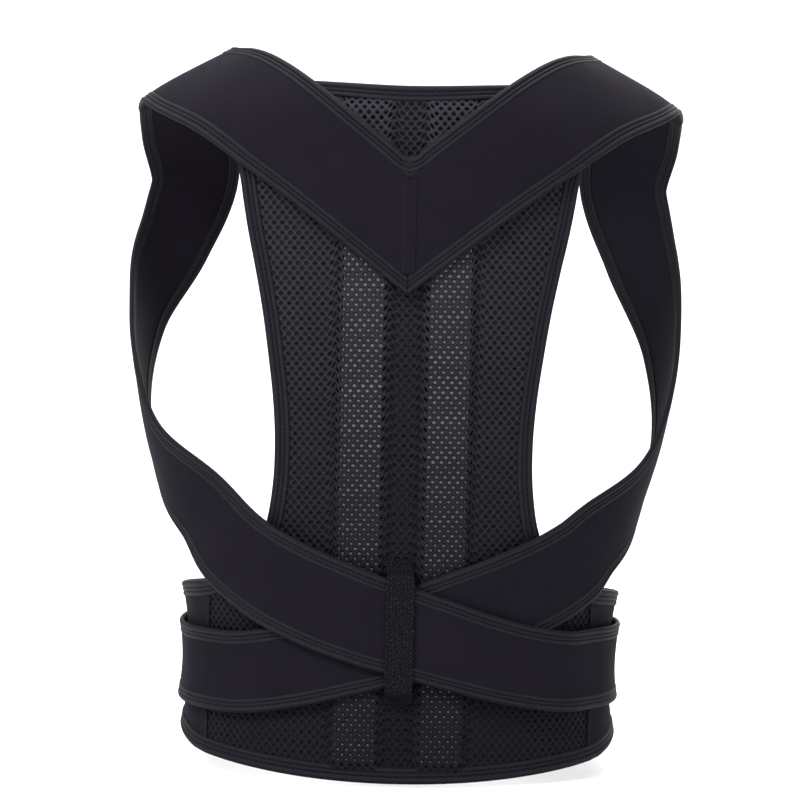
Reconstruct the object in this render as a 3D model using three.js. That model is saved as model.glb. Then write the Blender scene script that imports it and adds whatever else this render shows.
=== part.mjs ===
import * as THREE from 'three';

// Posture corrector with a mesh back panel, two shoulder straps that cross on
// the lower back, and a waist belt, in the form it has when it is worn.
// Millimetres, +Z up. The back faces -Y and the belt closes in front at +Y.
// The origin is the middle of the belt's hollow, at half the belt's height.

// Hollow that the fabric is shaped round
const BACK_HEIGHT = 435;          // hem to neckline at the middle of the back
const WAIST_HALF = 136.5;           // half width at the belt
const WAIST_BACK = 96;            // depth behind the middle at the belt
const WAIST_FRONT = 102;          // depth before the middle at the belt
const CHEST_HALF = 180;           // half width under the arms
const CHEST_DEEP = 118;           // depth each way under the arms
const CREST_ACROSS = 148;         // where the shoulder roof's height is measured
const CREST_UP = 388;
const CREST_SLOPE = 0.53;         // fall of the roof for each mm outwards
const CREST_DEEP = -10;           // the roof's ridge lies this far behind the middle
const CREST_ROUND = 96;           // radius of the roof from back to front
const SHOULDER_BLEND = 30;        // width of the round where wall and roof meet
const CREST_MIDDLE = 10;          // softens the roof's peak at the middle

// Fabric, tape and the gaps that keep the pieces apart
const GAP = 0.4;                  // between a piece and what it is sewn to
const LAYER_GAP = 0.9;            // between two layers that only lie on each other
const TAPE = 0.5;                 // wall of the folded edge tape
const PANEL_WALL = 2.2;           // spacer mesh
const STRAP_WALL = 1.8;
const STAY_WALL = 1.2;
const CHANNEL_WALL = 0.8;
const LOOP_WALL = 1.2;
const HOOK_WALL = 1.4;
const SEAM_TAPE_WALL = 0.8;

// Widths
const PANEL_HALF = 122;           // back panel where it is widest, at the belt
const PANEL_TAPE_WIDTH = 9;       // neck, side and hem tape, as folded
const STRAP_TAPE_WIDTH = 8;
const STAY_WIDTH = 25;
const STAY_ACROSS = 26.5;         // middle of each stay from the middle of the back
const CHANNEL_LIP = 3.6;          // flat edge sewn down beside each stay
const CHANNEL_ROOM = 0.6;         // play beside the stay inside its channel
const LOOP_WIDTH = 17;
const SEAM_TAPE_WIDTH = 9;
const HOOK_WIDTH = 30;            // fits between the strap's two tapes
const HOOK_REACH = 27;            // how far a hook tab shows past its strap's end
const HOOK_SEAT = 30;             // how far it lies under the strap
const WING_OVERLAP = 35;          // each belt wing passes the middle of the front
const CROSSING_DROP = 20;         // the right strap hangs this much lower at its side

// Heights of the layers over the hollow
const REST = TAPE + GAP;                              // under face of panel and belt
const PANEL_TOP = REST + PANEL_WALL;
const CHANNEL_TOP = PANEL_TOP + GAP + STAY_WALL + GAP + CHANNEL_WALL;
const OVER_PANEL = CHANNEL_TOP + LAYER_GAP;           // lift of a strap on the panel
const OVER_STRAP = STRAP_WALL + 2 * (GAP + TAPE) + LAYER_GAP;
const OVER_WING = PANEL_WALL + 2 * (GAP + TAPE) + LAYER_GAP;

// Hollow at several heights. up is a share of BACK_HEIGHT from the origin;
// wide, back and front run from the waist sizes (0) to the chest sizes (1).
const HOLLOW = [
  { up: -0.16, wide: 0.22, back: 0.40, front: 0.30, square: 2.30 },
  { up: -0.06, wide: 0.06, back: 0.10, front: 0.05, square: 2.30 },
  { up: 0.00, wide: 0.00, back: 0.00, front: 0.00, square: 2.30 },
  { up: 0.10, wide: 0.10, back: 0.02, front: 0.02, square: 2.30 },
  { up: 0.20, wide: 0.32, back: 0.15, front: 0.15, square: 2.35 },
  { up: 0.35, wide: 0.76, back: 0.60, front: 0.60, square: 2.40 },
  { up: 0.49, wide: 1.00, back: 1.00, front: 1.00, square: 2.45 },
  { up: 0.58, wide: 1.10, back: 1.14, front: 1.06, square: 2.50 },
  { up: 0.70, wide: 1.30, back: 1.22, front: 0.60, square: 2.50 },
  { up: 0.81, wide: 1.55, back: 1.12, front: -0.40, square: 2.50 },
  { up: 0.93, wide: 1.70, back: 0.70, front: -1.40, square: 2.50 },
  { up: 1.05, wide: 1.75, back: 0.20, front: -2.20, square: 2.50 },
];

// Rows of the back panel from hem to neckline, all as shares: wide of
// PANEL_HALF, side and middle (heights) of BACK_HEIGHT.
const PANEL = [
  { part: 'hem', wide: 1.000, side: -0.120, middle: -0.144 },
  { part: 'belt', wide: 1.002, side: -0.096, middle: -0.118 },
  { part: 'belt', wide: 1.004, side: -0.022, middle: -0.035 },
  { part: 'belt', wide: 1.004, side: 0.057, middle: 0.053 },
  { part: 'belt', wide: 1.003, side: 0.109, middle: 0.108 },
  { part: 'belt top', wide: 1.000, side: 0.131, middle: 0.131 },
  { part: 'flare', wide: 0.863, side: 0.148, middle: 0.152 },
  { part: 'flare', wide: 0.758, side: 0.175, middle: 0.177 },
  { part: 'flare', wide: 0.699, side: 0.216, middle: 0.216 },
  { part: 'waist', wide: 0.660, side: 0.276, middle: 0.276 },
  { part: 'waist', wide: 0.650, side: 0.340, middle: 0.340 },
  { part: 'blade', wide: 0.663, side: 0.407, middle: 0.407 },
  { part: 'blade', wide: 0.691, side: 0.471, middle: 0.471 },
  { part: 'blade', wide: 0.724, side: 0.533, middle: 0.533 },
  { part: 'blade', wide: 0.765, side: 0.593, middle: 0.593 },
  { part: 'blade', wide: 0.810, side: 0.653, middle: 0.653 },
  { part: 'blade', wide: 0.843, side: 0.708, middle: 0.708 },
  { part: 'yoke', wide: 0.867, side: 0.763, middle: 0.761 },
  { part: 'yoke', wide: 0.843, side: 0.828, middle: 0.800 },
  { part: 'yoke', wide: 0.822, side: 0.850, middle: 0.826 },
  { part: 'neckline', wide: 0.793, side: 0.883, middle: 0.851 },
];

// A belt wing from the panel's side seam to its front end. turn is the angle
// round the hollow in degrees from the middle of the back; top and bottom are
// shares of BACK_HEIGHT.
const WING = [
  { turn: 60, top: 0.130, bottom: -0.118 },
  { turn: 90, top: 0.120, bottom: -0.092 },
  { turn: 120, top: 0.113, bottom: -0.097 },
  { turn: 150, top: 0.101, bottom: -0.097 },
  { turn: 180, top: 0.092, bottom: -0.092 },
  { turn: 200, top: 0.087, bottom: -0.087 },
];
const WING_RAMP = { from: 158, to: 167 };   // where the outer wing climbs over the inner
const WING_STEPS = 16;

// Middle line of a shoulder strap, from the yoke's seam over the shoulder, down
// the front, back under the arm and across the lower back to the far side of
// the belt. across (outwards on the strap's own side) is a share of CHEST_HALF,
// deep of CHEST_DEEP, up of BACK_HEIGHT and wide of SHOULDER_WIDTH. layer is 0
// next to the hollow, 1 over panel or belt, 2 over the other strap. drop is the
// share of CROSSING_DROP that the lower of the two straps takes.
const SHOULDER_WIDTH = 67;
const STRAP = [
  { part: 'yoke', across: 0.003, deep: -1.04, up: 0.651, wide: 0.94, layer: 1, drop: 0 },
  { part: 'yoke', across: 0.333, deep: -1.02, up: 0.759, wide: 0.95, layer: 1, drop: 0 },
  { part: 'yoke', across: 0.578, deep: -0.85, up: 0.832, wide: 0.97, layer: 1, drop: 0 },
  { part: 'shoulder', across: 0.770, deep: -0.52, up: 0.877, wide: 1.00, layer: 0.4, drop: 0 },
  { part: 'crest', across: 0.828, deep: -0.10, up: 0.887, wide: 1.03, layer: 0, drop: 0 },
  { part: 'front', across: 0.845, deep: 0.34, up: 0.838, wide: 1.00, layer: 0, drop: 0 },
  { part: 'front', across: 0.861, deep: 0.70, up: 0.765, wide: 0.96, layer: 0, drop: 0 },
  { part: 'front', across: 0.906, deep: 0.60, up: 0.665, wide: 0.92, layer: 0, drop: 0.2 },
  { part: 'under arm', across: 0.961, deep: 0.29, up: 0.552, wide: 0.89, layer: 0, drop: 0.7 },
  { part: 'side', across: 0.989, deep: 0.00, up: 0.437, wide: 0.87, layer: 0, drop: 1 },
  { part: 'side', across: 0.950, deep: -0.24, up: 0.329, wide: 0.86, layer: 0, drop: 1 },
  { part: 'back', across: 0.761, deep: -0.62, up: 0.246, wide: 0.85, layer: 0.4, drop: 0.8 },
  { part: 'back', across: 0.561, deep: -0.75, up: 0.175, wide: 0.86, layer: 1.4, drop: 0.4 },
  { part: 'back', across: 0.406, deep: -0.82, up: 0.138, wide: 0.87, layer: 1.9, drop: 0.28 },
  { part: 'crossing', across: 0.267, deep: -0.86, up: 0.113, wide: 0.87, layer: 2, drop: 0.25 },
  { part: 'crossing', across: 0.100, deep: -0.88, up: 0.088, wide: 0.85, layer: 2, drop: 0.25 },
  { part: 'crossing', across: -0.056, deep: -0.88, up: 0.069, wide: 0.82, layer: 2, drop: 0.25 },
  { part: 'crossing', across: -0.289, deep: -0.85, up: 0.040, wide: 0.78, layer: 2, drop: 0.25 },
  { part: 'crossing', across: -0.422, deep: -0.80, up: 0.026, wide: 0.77, layer: 2, drop: 0.25 },
  { part: 'far side', across: -0.572, deep: -0.70, up: 0.016, wide: 0.77, layer: 2, drop: 0.25 },
  { part: 'far side', across: -0.700, deep: -0.50, up: 0.016, wide: 0.77, layer: 1.1, drop: 0.25 },
  { part: 'far side', across: -0.767, deep: -0.08, up: 0.018, wide: 0.76, layer: 0.75, drop: 0.2 },
  { part: 'belt front', across: -0.690, deep: 0.47, up: 0.018, wide: 0.75, layer: 0.75, drop: 0.1 },
  { part: 'belt front', across: -0.483, deep: 0.74, up: 0.014, wide: 0.73, layer: 0.8, drop: 0 },
];
const STRAP_STEPS = 55;
const YOKE_CUT = 45;              // the strap squares up this far from its slanted end

// Keeper loop over the crossing: up is a share of BACK_HEIGHT, layer as above
// but counted to the loop's own under face.
const LOOP = [
  { up: -0.033, layer: 0 },
  { up: -0.024, layer: 0 },
  { up: -0.017, layer: 0.68 },
  { up: -0.002, layer: 1 },
  { up: 0.040, layer: 1 },
  { up: 0.075, layer: 1 },
  { up: 0.110, layer: 1 },
  { up: 0.135, layer: 1 },
  { up: 0.157, layer: 1 },
  { up: 0.169, layer: 0 },
  { up: 0.178, layer: 0 },
];

const FABRIC = { color: 0x17171c, roughness: 0.85, metalness: 0 };
const MESH = { color: 0x1d1c21, roughness: 0.9, metalness: 0 };
const EDGE_TAPE = { color: 0x26242b, roughness: 0.8, metalness: 0 };
const STAY = { color: 0x8c8a90, roughness: 0.6, metalness: 0 };
const WEBBING = { color: 0x1f1e23, roughness: 0.85, metalness: 0 };
const HOOK = { color: 0x131316, roughness: 0.95, metalness: 0 };

// Smooth value of one column of a table at any place along another column
function read(table, by, column, at) {
  const last = table.length - 1;
  const place = THREE.MathUtils.clamp(at, table[0][by], table[last][by]);
  let i = 0;
  while (i < last - 1 && place > table[i + 1][by]) i += 1;
  const rise = (k) => (table[k + 1][column] - table[k][column]) / (table[k + 1][by] - table[k][by]);
  const lean = (k) => {
    if (k === 0) return rise(0);
    if (k === last) return rise(last - 1);
    const before = table[k][by] - table[k - 1][by];
    const after = table[k + 1][by] - table[k][by];
    return (rise(k - 1) * after + rise(k) * before) / (before + after);
  };
  const span = table[i + 1][by] - table[i][by];
  const t = (place - table[i][by]) / span;
  return (2 * t ** 3 - 3 * t ** 2 + 1) * table[i][column]
    + (t ** 3 - 2 * t ** 2 + t) * span * lean(i)
    + (3 * t ** 2 - 2 * t ** 3) * table[i + 1][column]
    + (t ** 3 - t ** 2) * span * lean(i + 1);
}

// Half width, depth and squareness of the hollow at one height
function section(z, toBack) {
  const up = z / BACK_HEIGHT;
  const side = toBack ? WAIST_BACK : WAIST_FRONT;
  const run = read(HOLLOW, 'up', toBack ? 'back' : 'front', up);
  return {
    half: WAIST_HALF + read(HOLLOW, 'up', 'wide', up) * (CHEST_HALF - WAIST_HALF),
    deep: side + run * (CHEST_DEEP - side),
    square: read(HOLLOW, 'up', 'square', up),
  };
}

// Roughly the distance of a point from the hollow's face, less than 0 inside
function outside(p) {
  const { half, deep, square } = section(p.z, p.y < 0);
  const ring = (Math.abs(p.x / half) ** square + Math.abs(p.y / deep) ** square) ** (1 / square);
  const wall = (ring - 1) * deep;
  const fall = CREST_SLOPE * (Math.hypot(p.x, CREST_MIDDLE) - CREST_ACROSS);
  const round = (p.y - CREST_DEEP) ** 2 / (2 * CREST_ROUND);
  const roof = 0.85 * (p.z - CREST_UP + fall + round);
  const blend = Math.max(SHOULDER_BLEND - Math.abs(wall - roof), 0) / SHOULDER_BLEND;
  return Math.max(wall, roof) + blend * blend * SHOULDER_BLEND / 4;
}

function steepest(p) {
  const reach = 0.5;
  const slope = new THREE.Vector3();
  for (const axis of ['x', 'y', 'z']) {
    const ahead = p.clone();
    const behind = p.clone();
    ahead[axis] += reach;
    behind[axis] -= reach;
    slope[axis] = (outside(ahead) - outside(behind)) / (2 * reach);
  }
  return slope;
}

// A spot is a point on the hollow's face with the direction straight out of it
function settle(point) {
  const p = point.clone();
  for (let turn = 0; turn < 12; turn += 1) {
    const slope = steepest(p);
    const move = THREE.MathUtils.clamp(outside(p) / slope.lengthSq(), -40, 40);
    p.addScaledVector(slope, -move);
  }
  return { p, out: steepest(p).normalize() };
}

const lifted = (spot, lift) => spot.p.clone().addScaledVector(spot.out, lift);

// The spot a given distance away along the face
function walk(spot, direction, distance) {
  const along = direction.clone().addScaledVector(spot.out, -direction.dot(spot.out)).normalize();
  return settle(spot.p.clone().addScaledVector(along, distance));
}

function ringSpot(turn, z, side) {
  const angle = THREE.MathUtils.degToRad(turn);
  const { half, deep, square } = section(z, Math.cos(angle) > 0);
  const x = half * Math.sign(Math.sin(angle)) * Math.abs(Math.sin(angle)) ** (2 / square);
  const y = -deep * Math.sign(Math.cos(angle)) * Math.abs(Math.cos(angle)) ** (2 / square);
  return settle(new THREE.Vector3(side * x, y, z));
}

// A closed solid from corner points and faces of three or four corners
function solid(name, points, faces, finish) {
  const corners = [];
  for (const face of faces) {
    corners.push(face[0], face[1], face[2]);
    if (face.length === 4) corners.push(face[0], face[2], face[3]);
  }
  let volume = 0;
  for (let i = 0; i < corners.length; i += 3) {
    const [a, b, c] = [points[corners[i]], points[corners[i + 1]], points[corners[i + 2]]];
    volume += a.dot(b.clone().cross(c)) / 6;
  }
  if (volume < 0) corners.reverse();
  const geometry = new THREE.BufferGeometry();
  geometry.setAttribute('position', new THREE.Float32BufferAttribute(
    points.flatMap((p) => [p.x, p.y, p.z]), 3));
  geometry.setIndex(corners);
  geometry.computeVertexNormals();
  const mesh = new THREE.Mesh(geometry, new THREE.MeshStandardMaterial(finish));
  mesh.name = name;
  return mesh;
}

// Cloth over a grid of spots, from one lift to another. The lifts are numbers
// or functions of the row and the column. mirrored splits the faces of the
// first half of the columns the other way, for cloth that is alike on both sides.
function cloth(name, grid, under, over, finish, mirrored = false) {
  const rows = grid.length;
  const columns = grid[0].length;
  const value = (lift, i, j) => (typeof lift === 'function' ? lift(i, j) : lift);
  const points = [];
  for (const lift of [under, over]) {
    grid.forEach((row, i) => row.forEach((spot, j) => points.push(lifted(spot, value(lift, i, j)))));
  }
  const low = (i, j) => i * columns + j;
  const high = (i, j) => rows * columns + low(i, j);
  const faces = [];
  for (let i = 0; i < rows - 1; i += 1) {
    for (let j = 0; j < columns - 1; j += 1) {
      const top = [high(i, j), high(i, j + 1), high(i + 1, j + 1), high(i + 1, j)];
      const base = [low(i, j), low(i + 1, j), low(i + 1, j + 1), low(i, j + 1)];
      if (mirrored && j < (columns - 1) / 2) {
        top.push(top.shift());
        base.push(base.shift());
      }
      faces.push(top, base);
    }
    const end = columns - 1;
    faces.push([low(i, 0), high(i, 0), high(i + 1, 0), low(i + 1, 0)]);
    faces.push([low(i, end), low(i + 1, end), high(i + 1, end), high(i, end)]);
  }
  for (let j = 0; j < columns - 1; j += 1) {
    const end = rows - 1;
    faces.push([low(0, j), low(0, j + 1), high(0, j + 1), high(0, j)]);
    faces.push([low(end, j), high(end, j), high(end, j + 1), low(end, j + 1)]);
  }
  return solid(name, points, faces, finish);
}

// Tape folded round a cloth edge. Each station has the edge spot, the spot the
// tape reaches inwards, and the lifts of the cloth's two faces. lastColumn says
// that the edge is the cloth's last column, so that both split their faces alike.
function foldedTape(name, stations, lastColumn = false) {
  const points = [];
  for (const { edge, inner, under, over } of stations) {
    const away = edge.p.clone().sub(inner.p);
    away.addScaledVector(edge.out, -away.dot(edge.out)).normalize();
    const beyond = (lift, reach) => lifted(edge, lift).addScaledVector(away, reach);
    points.push(
      lifted(inner, under - GAP - TAPE),
      beyond(under - GAP - TAPE, GAP + TAPE),
      beyond(over + GAP + TAPE, GAP + TAPE),
      lifted(inner, over + GAP + TAPE),
      lifted(inner, over + GAP),
      beyond(over + GAP, GAP),
      beyond(under - GAP, GAP),
      lifted(inner, under - GAP),
    );
  }
  const faces = [];
  const ring = 8;
  for (let i = 0; i < stations.length - 1; i += 1) {
    for (let k = 0; k < ring; k += 1) {
      const next = (k + 1) % ring;
      const quad = [i * ring + k, (i + 1) * ring + k, (i + 1) * ring + next, i * ring + next];
      if ((k % 4 === 0) !== lastColumn) quad.push(quad.shift());
      faces.push(quad);
    }
  }
  const last = (stations.length - 1) * ring;
  for (const [a, b, c, d] of [[0, 1, 6, 7], [1, 2, 5, 6], [2, 3, 4, 5]]) {
    faces.push([a, b, c, d], [last + d, last + c, last + b, last + a]);
  }
  return solid(name, points, faces, EDGE_TAPE);
}

// Back panel: rows of spots from hem to neckline, with an edge and an inner
// column on both sides that the folded tape follows
const rowHeight = (row, x) => {
  const share = Math.min(Math.abs(x) / (row.wide * PANEL_HALF), 1);
  return BACK_HEIGHT * (row.middle + (row.side - row.middle) * share ** 2);
};
const backSpot = (x, z) => {
  const { half, deep, square } = section(z, true);
  const y = -deep * (1 - Math.min(Math.abs(x) / half, 0.99) ** square) ** (1 / square);
  return settle(new THREE.Vector3(x, y, z));
};
const panelSpot = (row, x) => backSpot(x, rowHeight(row, x));

const BELT_TOP_ROW = PANEL.findIndex((row) => row.part === 'belt top');
const INNER_CELLS = 12;

function panelSide(side) {
  const edge = PANEL.map((row) => panelSpot(row, side * row.wide * PANEL_HALF));
  const inner = edge.map((spot, i) => {
    const from = edge[i === BELT_TOP_ROW ? i : Math.max(i - 1, 0)];
    const to = edge[i < BELT_TOP_ROW ? Math.max(i, 1) : Math.min(i + 1, edge.length - 1)];
    const along = to.p.clone().sub(from.p);
    return walk(spot, along.cross(spot.out).multiplyScalar(-side), PANEL_TAPE_WIDTH);
  });
  return { edge, inner };
}
const leftSide = panelSide(-1);
const rightSide = panelSide(1);
const panelGrid = PANEL.map((row, i) => {
  const from = leftSide.inner[i].p.x;
  const to = rightSide.inner[i].p.x;
  const middle = Array.from({ length: INNER_CELLS - 1 }, (_, j) => (
    panelSpot(row, THREE.MathUtils.lerp(from, to, (j + 1) / INNER_CELLS))));
  return [leftSide.edge[i], leftSide.inner[i], ...middle, rightSide.inner[i], rightSide.edge[i]];
});

// Belt wing: rows up its height, stations from the side seam to the front
const seamRows = PANEL.slice(0, BELT_TOP_ROW + 1);
function wingGrid(side) {
  const seam = (side < 0 ? leftSide : rightSide).edge.slice(0, BELT_TOP_ROW + 1);
  const low = seamRows[0].side;
  const high = seamRows[BELT_TOP_ROW].side;
  const levels = seamRows.map((row) => (row.side - low) / (high - low));
  const outwards = new THREE.Vector3(side, 0, 0);
  const stations = [seam.map((spot) => walk(spot, outwards, GAP))];
  const lastTurn = 180 + THREE.MathUtils.radToDeg(Math.asin(WING_OVERLAP / WAIST_HALF)) * 0.8;
  for (let k = 0; k <= WING_STEPS; k += 1) {
    const turn = THREE.MathUtils.lerp(WING[0].turn + 2, lastTurn, k / WING_STEPS);
    const bottom = read(WING, 'turn', 'bottom', turn) * BACK_HEIGHT;
    const top = read(WING, 'turn', 'top', turn) * BACK_HEIGHT;
    const heights = levels.map((level) => THREE.MathUtils.lerp(bottom, top, level));
    stations.push(heights.map((z) => ringSpot(turn, z, side)));
  }
  const turns = [WING[0].turn, ...stations.slice(1).map((_, k) => (
    THREE.MathUtils.lerp(WING[0].turn + 2, lastTurn, k / WING_STEPS)))];
  return { stations, turns };
}
const leftWing = wingGrid(-1);
const rightWing = wingGrid(1);
const wingLift = (turn, outer) => REST + (outer ? OVER_WING : 0)
  * THREE.MathUtils.smoothstep(turn, WING_RAMP.from, WING_RAMP.to);

// Tape stations along the top or bottom edge of a wing, seam end first
function wingTape(wing, outer, top) {
  return wing.stations.map((heights, i) => {
    const edge = heights[top ? heights.length - 1 : 0];
    const inwards = new THREE.Vector3(0, 0, top ? -1 : 1);
    const under = wingLift(wing.turns[i], outer);
    return { edge, inner: walk(edge, inwards, PANEL_TAPE_WIDTH), under, over: under + PANEL_WALL };
  });
}
const panelTape = (edge, inner) => ({ edge, inner, under: REST, over: PANEL_TOP });
const hemTape = panelGrid[0].map((edge, j) => (
  panelTape(edge, walk(edge, new THREE.Vector3(0, 0, 1), PANEL_TAPE_WIDTH))));
const neckTape = panelGrid[PANEL.length - 1].map((edge) => (
  panelTape(edge, walk(edge, new THREE.Vector3(0, 0, -1), PANEL_TAPE_WIDTH))));

// Side tape: down the panel's side from under the strap, then along the wing.
// It stops short of the neckline tape by one gap.
function sideTape(panelEdge, wing, outer) {
  const stations = [];
  for (let i = PANEL.length - 2; i > BELT_TOP_ROW; i -= 1) {
    stations.push(panelTape(panelEdge.edge[i], panelEdge.inner[i]));
  }
  const corner = panelEdge.edge[BELT_TOP_ROW];
  stations.push(panelTape(corner, walk(corner, new THREE.Vector3(0, 0, -1), PANEL_TAPE_WIDTH)));
  stations.push(...wingTape(wing, outer, true).slice(1));
  return stations;
}

// Stay and channel: spots beside each other along the panel's rows. The stays
// end under the yoke, below the window between the neckline and the straps.
const channelRows = PANEL.slice(1, -1);
const stayRows = PANEL.slice(1, -4);
const stripGrid = (rows, middle, offsets) => rows.map((row) => (
  offsets.map((offset) => panelSpot(row, middle + offset))));
const stayHalf = STAY_WIDTH / 2;
const channelHalf = stayHalf + CHANNEL_ROOM + STAY_WALL + CHANNEL_LIP;
const channelOffsets = [
  -channelHalf,
  -stayHalf - CHANNEL_ROOM - STAY_WALL,
  -stayHalf - CHANNEL_ROOM,
  0,
  stayHalf + CHANNEL_ROOM,
  stayHalf + CHANNEL_ROOM + STAY_WALL,
  channelHalf,
];
const channelUnder = (i, j) => (
  PANEL_TOP + GAP + (Math.abs(channelOffsets[j]) > stayHalf + CHANNEL_ROOM ? 0 : STAY_WALL + GAP));
const channelOver = (i, j) => channelUnder(i, j) + CHANNEL_WALL;

// Shoulder strap: stations along its middle line and five spots across each
function strapLift(layer) {
  const first = OVER_PANEL * Math.min(layer, 1);
  const second = OVER_STRAP * Math.max(layer - 1, 0);
  return REST + first + second;
}
function strapGrid(side, topmost) {
  const drop = topmost ? 0 : CROSSING_DROP;
  const marks = STRAP.map((row) => settle(new THREE.Vector3(
    side * row.across * CHEST_HALF,
    row.deep * CHEST_DEEP,
    row.up * BACK_HEIGHT - row.drop * drop,
  )).p);
  marks[0].x = side * GAP / 2;
  const path = new THREE.CatmullRomCurve3(marks, false, 'centripetal');
  path.arcLengthDivisions = 2000;
  const length = path.getLength();
  const stations = [];
  for (let k = 0; k <= STRAP_STEPS; k += 1) {
    const share = k / STRAP_STEPS;
    const middle = settle(path.getPointAt(share));
    const ahead = path.getTangentAt(share);
    const seat = path.getUtoTmapping(share) * (STRAP.length - 1);
    const row = Math.min(Math.floor(seat), STRAP.length - 2);
    const blend = THREE.MathUtils.smoothstep(seat - row, 0, 1);
    const mix = (column) => THREE.MathUtils.lerp(STRAP[row][column], STRAP[row + 1][column], blend);
    const layer = topmost ? mix('layer') : Math.min(mix('layer'), 1);
    const cross = middle.out.clone().cross(ahead).multiplyScalar(side).normalize();
    const square = THREE.MathUtils.clamp(1 - share * length / YOKE_CUT, 0, 1);
    const slant = square * ahead.z / Math.hypot(ahead.x, ahead.y);
    cross.addScaledVector(ahead, slant);
    const half = mix('wide') * SHOULDER_WIDTH / 2;
    const stretch = cross.length();
    const steps = [half - STRAP_TAPE_WIDTH, STRAP_TAPE_WIDTH];
    const neckSide = [];
    const armSide = [];
    let neckward = middle;
    let armward = middle;
    for (const reach of steps) {
      neckward = walk(neckward, cross, reach * stretch);
      armward = walk(armward, cross.clone().negate(), reach * stretch);
      neckSide.unshift(neckward);
      armSide.push(armward);
    }
    const spots = [...neckSide, middle, ...armSide];
    stations.push({ spots, middle, ahead, lift: strapLift(layer) });
  }
  return stations;
}
const leftStrap = strapGrid(-1, true);
const rightStrap = strapGrid(1, false);
const strapTape = (stations, edge, inner) => stations.map(({ spots, lift }) => (
  { edge: spots[edge], inner: spots[inner], under: lift, over: lift + STRAP_WALL }));

// Hook tab under the end of a strap, with a round tip
function hookTab(name, stations) {
  const end = stations[stations.length - 1];
  const grid = [];
  const steps = 12;
  const length = HOOK_SEAT + HOOK_REACH;
  let middle = walk(end.middle, end.ahead.clone().negate(), HOOK_SEAT);
  for (let k = 0; k <= steps; k += 1) {
    const left = length * (1 - k / steps);
    const round = Math.min(left / (HOOK_WIDTH / 2), 1);
    const half = HOOK_WIDTH / 2 * Math.max(Math.sqrt(1 - (1 - round) ** 2), 0.35);
    const up = new THREE.Vector3(0, 0, 1);
    grid.push([walk(middle, up, half), middle, walk(middle, up.clone().negate(), half)]);
    const ahead = up.clone().cross(middle.out).multiplyScalar(Math.sign(end.middle.p.x));
    middle = walk(middle, ahead, length / steps);
  }
  const under = PANEL_TOP + LAYER_GAP;
  return cloth(name, grid, under, under + HOOK_WALL, HOOK);
}

// Yoke seam tape over the joint between the straps, clear of the edge tapes
function yokeSeam() {
  const [top, , , , bottom] = leftStrap[0].spots.map((spot) => spot.p.z);
  const clear = (top - bottom) * STRAP_TAPE_WIDTH / (STRAP[0].wide * SHOULDER_WIDTH) + 2 * GAP;
  const slope = SEAM_TAPE_WIDTH / 2;
  const heights = [0, 0.33, 0.67, 1].map((share) => (
    THREE.MathUtils.lerp(bottom + clear + slope, top - clear, share)));
  const offsets = [-SEAM_TAPE_WIDTH / 2, 0, SEAM_TAPE_WIDTH / 2];
  const grid = heights.map((z) => offsets.map((x) => backSpot(x, z)));
  const under = strapLift(1) + STRAP_WALL + GAP;
  return cloth('yoke_seam', grid, under, under + SEAM_TAPE_WALL, WEBBING);
}

function keeperLoop() {
  const offsets = [-LOOP_WIDTH / 2, 0, LOOP_WIDTH / 2];
  const grid = LOOP.map((row) => offsets.map((x) => backSpot(x, row.up * BACK_HEIGHT)));
  const seat = PANEL_TOP + GAP;
  const rise = strapLift(2) + STRAP_WALL + GAP + TAPE + LAYER_GAP - seat;
  const under = (i) => seat + rise * LOOP[i].layer;
  return cloth('keeper_loop', grid, under, (i) => under(i) + LOOP_WALL, WEBBING);
}

// Hook patch between the two wings where they overlap in front
function beltHook() {
  const turns = [170, 175, 180, 185, 190];
  const heights = [-0.06, 0, 0.06];
  const grid = turns.map((turn) => heights.map((up) => ringSpot(turn, up * BACK_HEIGHT, 1)));
  const under = PANEL_TOP + GAP;
  return cloth('belt_hook', grid, under, under + HOOK_WALL, HOOK);
}

const wingUnder = (wing, outer) => (i) => wingLift(wing.turns[i], outer);
const wingOver = (wing, outer) => (i) => wingLift(wing.turns[i], outer) + PANEL_WALL;
const strapUnder = (stations) => (i) => stations[i].lift;
const strapOver = (stations) => (i) => stations[i].lift + STRAP_WALL;
const strapCloth = (name, stations) => cloth(
  name, stations.map(({ spots }) => spots), strapUnder(stations), strapOver(stations), FABRIC);

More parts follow.
